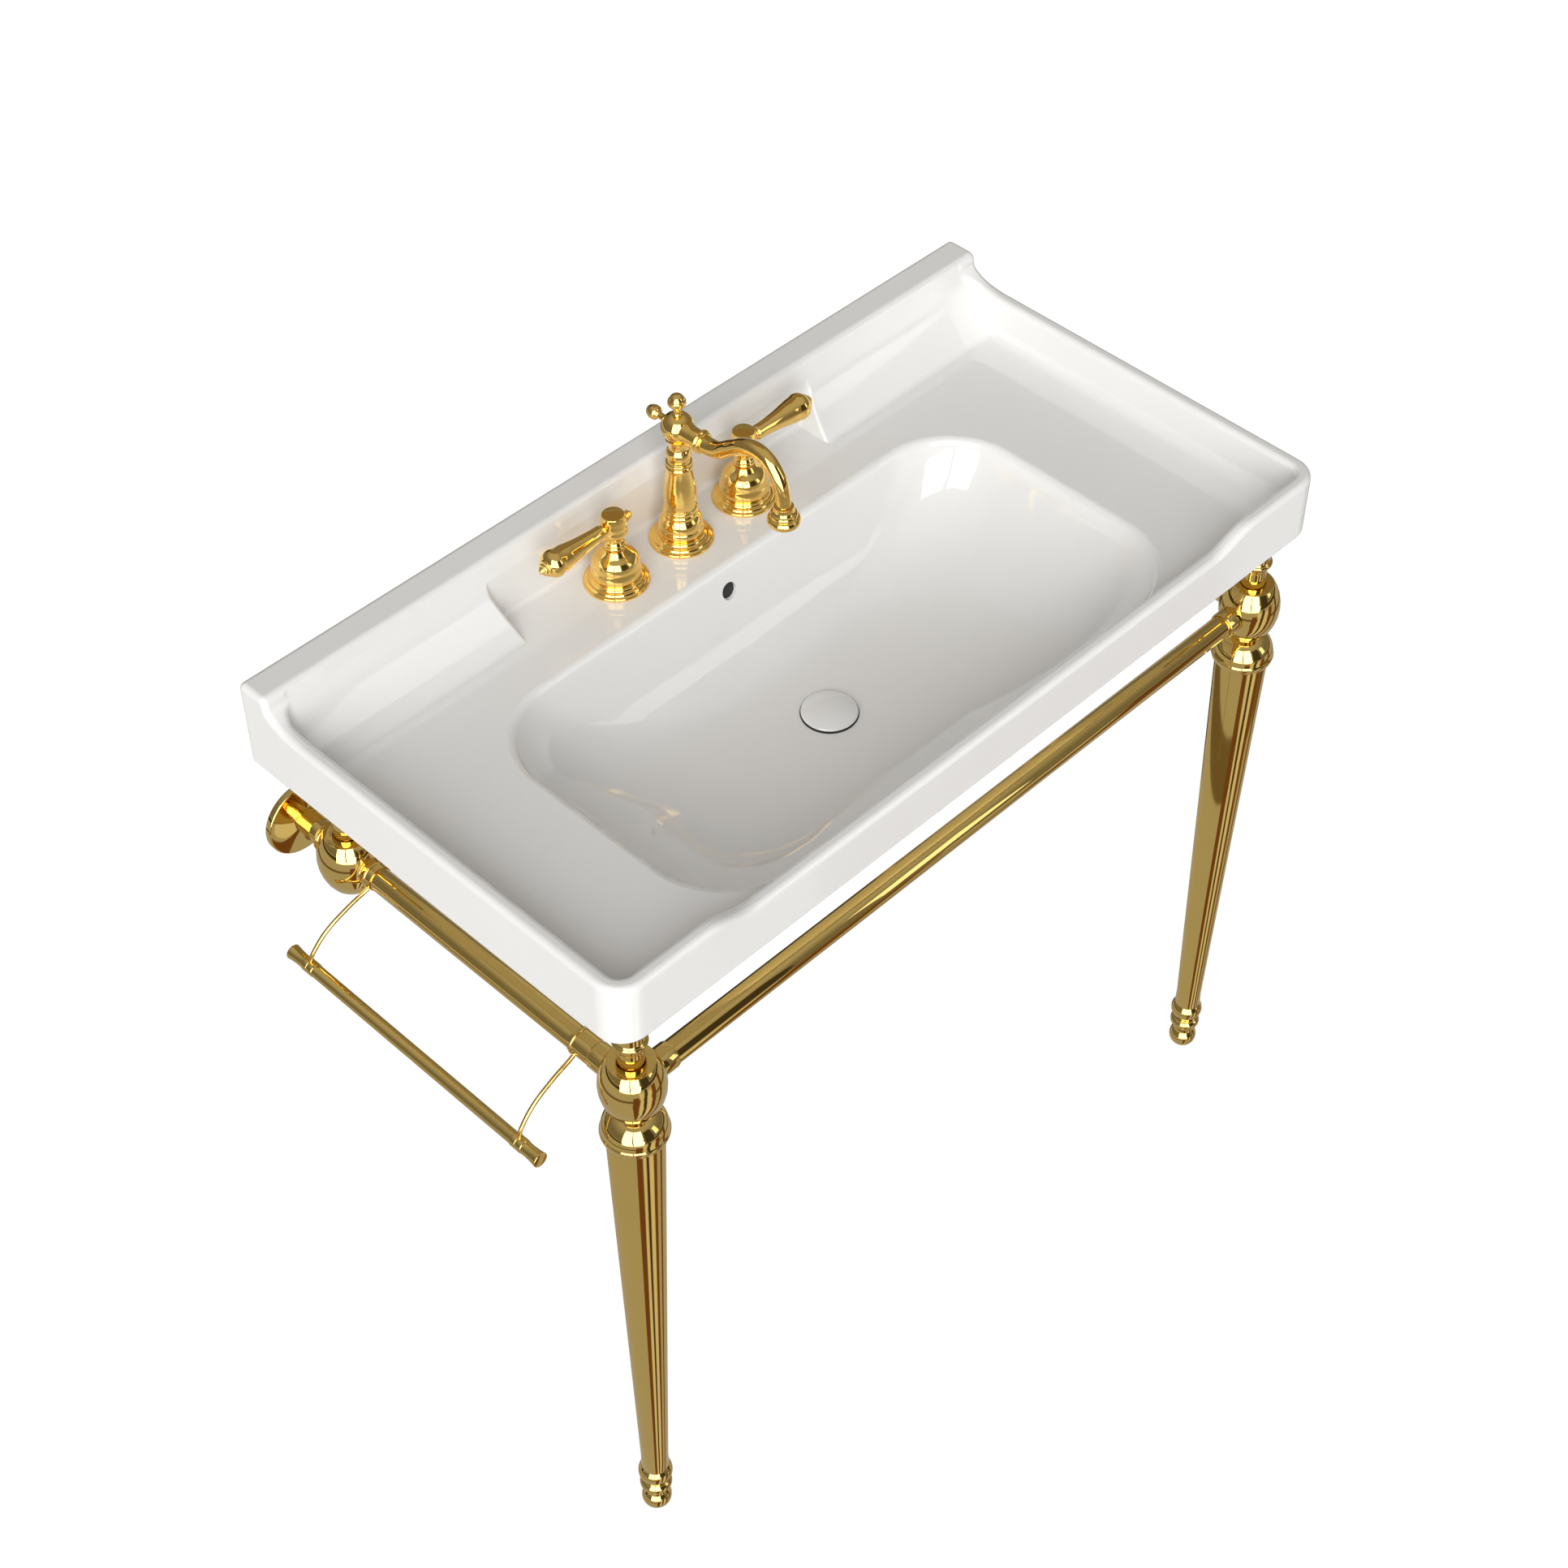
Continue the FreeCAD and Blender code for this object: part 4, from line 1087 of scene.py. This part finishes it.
@dataclass
class Handle(Assembly):
    """One handle: escutcheon, hub, lever and bead."""

    side: str
    sign: int
    body: Body
    spread: float = 86.5
    line: float = -78.3
    droop: float = 1.0
    height: float = 71.0
    reach: float = 94.0

    def build(self) -> None:
        """Make the four pieces of the handle."""
        foot = (self.sign * self.spread, self.line, DECK)
        pivot = (foot[0], foot[1], foot[2] + self.height)
        lean = math.radians(self.droop)
        outward = (self.sign * math.cos(lean), 0.0, -math.sin(lean))
        inward = (-outward[0], 0.0, -outward[2])
        side = self.side
        rosette = turned(f"{side}_bell_rosette", self.escutcheon(), foot, steps=96)
        self.finish(rosette, f"{side}_escutcheon", Slot.FAUCET)
        hub = turned(f"{side}_grip_hub", self.hub(), foot)
        self.finish(hub, f"{side}_handle_hub", Slot.FAUCET, self.body)
        lever = turned(f"{side}_baluster_lever", self.lever(), pivot, outward)
        self.finish(lever, f"{side}_lever", Slot.FAUCET, self.body)
        bead = turned(f"{side}_bead", self.bead(), pivot, inward)
        self.finish(bead, f"{side}_lever_finial", Slot.FAUCET, self.body)

    def escutcheon(self) -> Outline:
        """The stepped foot and the bell.

        Returns:
            Its outline.
        """
        return [
            (15.4, 0.0),
            (32.0, 0.0),
            (32.0, 3.2, 0.6),
            (29.0, 5.0, -0.5),
            (26.6, 6.0, 0.4),
            (24.8, 9.2, -0.6),
            (24.0, 9.8),
            (22.8, 22.5, 1.3),
            (16.6, 36.2, 2.2),
            (10.6, 43.0, -0.4),
            (5.5, 43.0),
            (5.5, 30.0),
            (15.4, 18.0),
        ]

    def hub(self) -> Outline:
        """The ringed waist and the round-bellied, flat-topped cap.

        Returns:
            Its outline.
        """
        return [
            (5.0, 43.4),
            (9.6, 43.4),
            (10.0, 46.8, 0.6),
            (9.1, 47.4),
            (9.4, 50.0, 0.6),
            (8.0, 51.4),
            (7.8, 55.0, -0.3),
            (12.4, 67.5, 2.4),
            (12.3, 75.0, 0.5),
            (11.2, 82.4, 0.5),
            (10.4, 83.4, 0.2),
            (0.0, 83.4),
            (0.0, 60.0),
            (5.0, 60.0),
        ]

    def lever(self) -> Outline:
        """The stout baluster lever, square at its shoulder and ringed at its tip.

        Returns:
            Its outline.
        """
        grip = 12.9
        reach = self.reach
        outline: Outline = [
            (0.0, 11.0),
            (4.2, 11.0),
            (4.2, 13.0),
            (6.2, 14.0, 0.4),
            (5.4, 15.2, 0.3),
            (6.8, 16.4, 0.4),
            (7.6, 17.4),
            (8.2, 32.0, -0.2),
            (grip - 1.4, reach - 36.0, -0.4),
            (grip, reach - 23.0, 0.5),
            (grip - 3.4, reach - 9.6, 2.6),
            (grip - 4.4, reach - 9.0),
            (grip - 5.6, reach - 6.6, 0.6),
            (grip - 6.6, reach - 6.2),
            (grip - 8.0, reach - 3.8, 0.6),
            (grip - 8.6, reach - 3.5),
        ]
        return outline + dome(grip - 9.2, reach - 2.9, 2.9)

    def bead(self) -> Outline:
        """The small ringed bead across from the lever.

        Returns:
            Its outline.
        """
        outline: Outline = [
            (0.0, 11.2),
            (4.4, 11.2),
            (5.4, 13.4, 0.7),
            (4.3, 14.4),
            (5.0, 16.6, 0.7),
            (3.8, 17.6),
            (4.2, 19.6, 0.6),
            (3.4, 20.2),
        ]
        return outline + dome(3.2, 20.4, 2.6)


# ---------------------------------------------------------------- the waste


@dataclass
class Waste(Assembly):
    """The ceramic cap over the drain, a black ring of painted shade under its edge, and a black plug of
    painted shade in the overflow hole.
    """

    radius: float = 28.0
    foot: Point = (0.0, -280.0, 25.5)
    seal: float = 26.6
    # Size, place and direction of a black plug in the overflow hole that paints the shade inside it.
    painted_shade_plug: float = 8.9
    painted_shade_plug_at: Point = (0.0, -140.9, 97.3)
    painted_shade_plug_line: Point = (0.0, 1.0, -0.27)

    def build(self) -> None:
        """Make the domed cap, the flange under it, a black ring as painted shade under the cap's edge,
        and a black plug as painted shade in the overflow hole.
        """
        cap: Outline = [
            (0.0, 1.9),
            (self.radius - 0.6, 1.9),
            (self.radius, 2.7, 0.2),
        ]
        cap += dome(self.radius - 1.2, 4.3, 4.5)
        piece = turned("clay_cap", cap, self.foot, steps=96)
        self.finish(piece, "drain_cap", Slot.CLAY, Body.STOPPER)
        # A black ring just outside the flange and under the cap's edge: painted shade for the gap under
        # the cap.
        inner = self.seal + 0.05
        outer = self.radius + 0.8
        seat: Outline = [(inner, 0.1), (outer, 0.1), (outer, 1.3), (inner, 1.3)]
        self.extra(turned("painted_shade_ring", seat, self.foot, edge=0.1, steps=96), Slot.RUBBER)
        flange: Outline = [
            (19.0, -50.0),
            (22.0, -50.0),
            (22.0, 0.1),
            (self.seal, 0.1),
            (self.seal, 1.5),
            (19.0, 1.5),
        ]
        piece = turned("waste_rim", flange, self.foot, steps=96)
        self.finish(piece, "drain_flange", Slot.BRASS)
        # A black plug set inside the overflow hole: painted shade for the hole's dark inside.
        painted_shade_plug: Outline = [(0.0, 0.0), (self.painted_shade_plug, 0.0), (self.painted_shade_plug, 9.0), (0.0, 9.0)]
        self.extra(turned("overflow_painted_shade_plug", painted_shade_plug, self.painted_shade_plug_at, self.painted_shade_plug_line), Slot.RUBBER)


# ---------------------------------------------------------------- the studio


@dataclass(frozen=True)
class Camera:
    """The photograph's viewpoint."""

    place: Point = (-1452.9, -1646.96, 1992.94)
    azimuth: float = -45.488
    elevation: float = 46.014
    roll: float = 0.03
    lens: float = 66.66
    sensor: float = 36.0
    clip: tuple[float, float] = (0.05, 60.0)

    def build(self) -> None:
        """Add the camera and make it the scene's."""
        data = bpy.data.cameras.new("viewpoint")
        data.lens = self.lens
        data.sensor_width = self.sensor
        data.clip_start, data.clip_end = self.clip
        camera = bpy.data.objects.new("viewpoint", data)
        bpy.context.scene.collection.objects.link(camera)
        turn = math.radians(self.azimuth)
        rise = math.radians(self.elevation)
        back = Vector((math.sin(turn) * math.cos(rise), -math.cos(turn) * math.cos(rise), math.sin(rise)))
        right = Vector((0, 0, 1)).cross(back).normalized()
        up = back.cross(right)
        axes = Matrix((right, up, back)).transposed() @ Matrix.Rotation(math.radians(self.roll), 3, "Z")
        camera.matrix_world = Matrix.Translation(Vector(self.place) * MM) @ axes.to_4x4()
        bpy.context.scene.camera = camera


@dataclass(frozen=True)
class Panel:
    """A patch of the room between two headings and two heights, in degrees.

    A heading is 0 straight in front of the basin and grows towards its right-hand side.
    """

    heading: tuple[float, float]
    height: tuple[float, float]
    colour: Colour
    strength: float = 1.0


WHITE = (1.0, 1.0, 1.0)
WALNUT = (0.17, 0.075, 0.028)
OAK = (0.25, 0.19, 0.12)
BRONZE = (0.17, 0.13, 0.08)
SHADE = (0.06, 0.05, 0.035)
CREAM = (0.72, 0.70, 0.64)


@dataclass
class Wiring:
    """A node tree with short ways to calculate and to mix colours in it."""

    tree: bpy.types.NodeTree

    def feed(self, socket: Socket, value: Socket | float | Colour) -> None:
        """Link a socket to another socket, or set it to a number or a colour.

        Args:
            socket: The input to feed.
            value: What it takes.
        """
        if isinstance(value, Socket):
            self.tree.links.new(value, socket)
        elif isinstance(value, tuple):
            socket.default_value = (*value, 1.0)
        else:
            socket.default_value = value

    def calculate(self, kind: str, *values: Socket | float) -> Socket:
        """Add one calculation.

        Args:
            kind: The calculation.
            values: What it works on, as sockets or numbers.

        Returns:
            The result.
        """
        node = self.tree.nodes.new("ShaderNodeMath")
        node.operation = kind
        for socket, value in zip(node.inputs, values):
            self.feed(socket, value)
        return node.outputs[0]

    def blend(self, share: Socket, first: Socket | Colour, second: Socket | Colour) -> Socket:
        """Mix two colours.

        Args:
            share: Share of the second colour.
            first: The first colour.
            second: The second colour.

        Returns:
            The mixed colour.
        """
        node = self.tree.nodes.new("ShaderNodeMix")
        node.data_type = "RGBA"
        self.feed(node.inputs[0], share)
        self.feed(node.inputs[6], first)
        self.feed(node.inputs[7], second)
        return node.outputs[2]


@dataclass
class Room:
    """The room round the basin: a pale ground, dim walls, two tall windows and some dark furniture."""

    ground: Colour = (0.44, 0.435, 0.42)
    wall: Colour = (0.20, 0.195, 0.185)
    ceiling: Colour = (0.46, 0.46, 0.46)
    fade: tuple[float, float] = (15.0, 65.0)
    waver: float = 7.0
    ripple: float = 2.2
    panels: tuple[Panel, ...] = (
        Panel((-180, 180), (-9, -2), SHADE),
        Panel((-180, 180), (-33, -28), BRONZE),
        Panel((108, 166), (32, 62), OAK),
        Panel((-82, -52), (-12, 50), WHITE, 4.4),
        Panel((-48, -18), (-12, 50), WHITE, 4.4),
        Panel((24, 38), (6, 34), WHITE, 1.6),
        Panel((-12, 16), (-4, 42), SHADE),
        Panel((-43, -25), (-82, -22), WALNUT),
        Panel((-22, -12), (-82, -14), CREAM),
        Panel((-9, 0), (-80, -10), SHADE),
        Panel((2, 15), (-84, -16), CREAM),
        Panel((17, 30), (-80, -12), WALNUT),
        Panel((47, 57), (-80, -8), WALNUT),
        Panel((150, 170), (-40, 20), SHADE),
    )

    def light(self, tree: bpy.types.NodeTree) -> Socket:
        """Build the room by the direction looked in.

        Args:
            tree: The world's node tree.

        Returns:
            The colour of the room.
        """
        wiring = Wiring(tree)
        place = tree.nodes.new("ShaderNodeTexCoord").outputs["Generated"]
        split = tree.nodes.new("ShaderNodeSeparateXYZ")
        tree.links.new(place, split.inputs[0])
        heading, height, below = self.direction(wiring, place, split.outputs)
        rise = tree.nodes.new("ShaderNodeMapRange")
        rise.interpolation_type = "SMOOTHSTEP"
        rise.inputs["From Min"].default_value = self.fade[0]
        rise.inputs["From Max"].default_value = self.fade[1]
        tree.links.new(height, rise.inputs["Value"])
        colour = wiring.blend(rise.outputs["Result"], self.wall, self.ceiling)
        colour = wiring.blend(below, colour, self.ground)
        for panel in self.panels:
            shares = []
            for value, (low, high) in ((heading, panel.heading), (height, panel.height)):
                shares.append(wiring.calculate("COMPARE", value, (low + high) / 2, (high - low) / 2))
            inside = wiring.calculate("MULTIPLY", *shares)
            colour = wiring.blend(inside, colour, tuple(part * panel.strength for part in panel.colour))
        return colour

    def direction(self, wiring: Wiring, place: Socket, parts: bpy.types.NodeOutputs) -> list[Socket]:
        """Turn the direction looked in into a heading and a height, with wavering lines below eye level.

        Args:
            wiring: The world's wiring.
            place: The direction looked in.
            parts: Its X, Y and Z.

        Returns:
            The heading, the height, and 1 below eye level or 0 above it.
        """
        noise = wiring.tree.nodes.new("ShaderNodeTexNoise")
        noise.inputs["Scale"].default_value = self.ripple
        wiring.tree.links.new(place, noise.inputs["Vector"])
        centred = wiring.calculate("SUBTRACT", noise.outputs["Fac"], 0.5)
        waver = wiring.calculate("MULTIPLY", centred, self.waver * 2)
        ahead = wiring.calculate("MULTIPLY", parts["Y"], -1.0)
        heading = wiring.calculate("DEGREES", wiring.calculate("ARCTAN2", parts["X"], ahead))
        below = wiring.calculate("LESS_THAN", parts["Z"], 0.0)
        heading = wiring.calculate("ADD", heading, wiring.calculate("MULTIPLY", waver, below))
        height = wiring.calculate("DEGREES", wiring.calculate("ARCSINE", parts["Z"]))
        return [heading, height, below]


@dataclass
class Studio:
    """A white floor and backdrop, lit by the room's windows."""

    floor: float = -0.7
    width: float = 30.0
    bounce: float = 0.72
    matt: float = 0.9
    shadow: float = 0.25
    glow: float = 0.86
    room: Room = field(default_factory=Room)

    def build(self) -> None:
        """Set up the world, the floor and the view transform."""
        bpy.context.scene.view_settings.view_transform = "Standard"
        self.world()
        self.floor_piece()

    def world(self) -> None:
        """White to the camera and the room to everything else."""
        world = bpy.data.worlds.new("room")
        bpy.context.scene.world = world
        world.use_nodes = True
        tree = world.node_tree
        tree.nodes.clear()
        output = tree.nodes.new("ShaderNodeOutputWorld")
        white = tree.nodes.new("ShaderNodeBackground")
        white.inputs["Color"].default_value = (1, 1, 1, 1)
        room = tree.nodes.new("ShaderNodeBackground")
        tree.links.new(self.room.light(tree), room.inputs["Color"])
        path = tree.nodes.new("ShaderNodeLightPath")
        mix = tree.nodes.new("ShaderNodeMixShader")
        tree.links.new(path.outputs["Is Camera Ray"], mix.inputs["Fac"])
        tree.links.new(room.outputs["Background"], mix.inputs[1])
        tree.links.new(white.outputs["Background"], mix.inputs[2])
        tree.links.new(mix.outputs["Shader"], output.inputs["Surface"])

    def floor_piece(self) -> None:
        """A wide floor that looks white, keeps a faint shadow and lets mirrors see the room's ground."""
        clear_selection()
        bpy.ops.mesh.primitive_plane_add(size=self.width, location=(0, 0, self.floor))
        floor = bpy.context.object
        floor.name = "studio_floor"
        material = bpy.data.materials.new("studio_floor")
        material.use_nodes = True
        nodes = material.node_tree.nodes
        links = material.node_tree.links
        plain = nodes["Principled BSDF"]
        plain.inputs["Base Color"].default_value = (self.bounce, self.bounce, self.bounce, 1)
        plain.inputs["Roughness"].default_value = self.matt
        seen = nodes.new("ShaderNodeBsdfPrincipled")
        seen.inputs["Base Color"].default_value = (self.shadow, self.shadow, self.shadow, 1)
        seen.inputs["Specular IOR Level"].default_value = 0.0
        seen.inputs["Emission Color"].default_value = (1, 1, 1, 1)
        seen.inputs["Emission Strength"].default_value = self.glow
        clear = nodes.new("ShaderNodeBsdfTransparent")
        path = nodes.new("ShaderNodeLightPath")
        for_camera = nodes.new("ShaderNodeMixShader")
        for_mirrors = nodes.new("ShaderNodeMixShader")
        links.new(path.outputs["Is Camera Ray"], for_camera.inputs["Fac"])
        links.new(plain.outputs["BSDF"], for_camera.inputs[1])
        links.new(seen.outputs["BSDF"], for_camera.inputs[2])
        links.new(path.outputs["Is Glossy Ray"], for_mirrors.inputs["Fac"])
        links.new(for_camera.outputs["Shader"], for_mirrors.inputs[1])
        links.new(clear.outputs["BSDF"], for_mirrors.inputs[2])
        links.new(for_mirrors.outputs["Shader"], nodes["Material Output"].inputs["Surface"])
        floor.data.materials.append(material)


def main() -> None:
    """Build the studio and every sub-assembly."""
    logging.basicConfig(level=logging.INFO, format="%(name)s: %(message)s")
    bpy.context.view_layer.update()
    Camera().build()
    Studio().build()
    palette = Palette()
    palette.dress_nodes()
    assemblies = (
        Hubs(palette),
        Rails(palette),
        Legs(palette),
        TowelBar(palette),
        Spout(palette),
        Handle(palette, "left", -1, Body.LEFT_HANDLE),
        Handle(palette, "right", 1, Body.RIGHT_HANDLE),
        Waste(palette),
    )
    for assembly in assemblies:
        LOG.info("building %s", type(assembly).__name__)
        assembly.build()


if __name__ == "__main__":
    main()
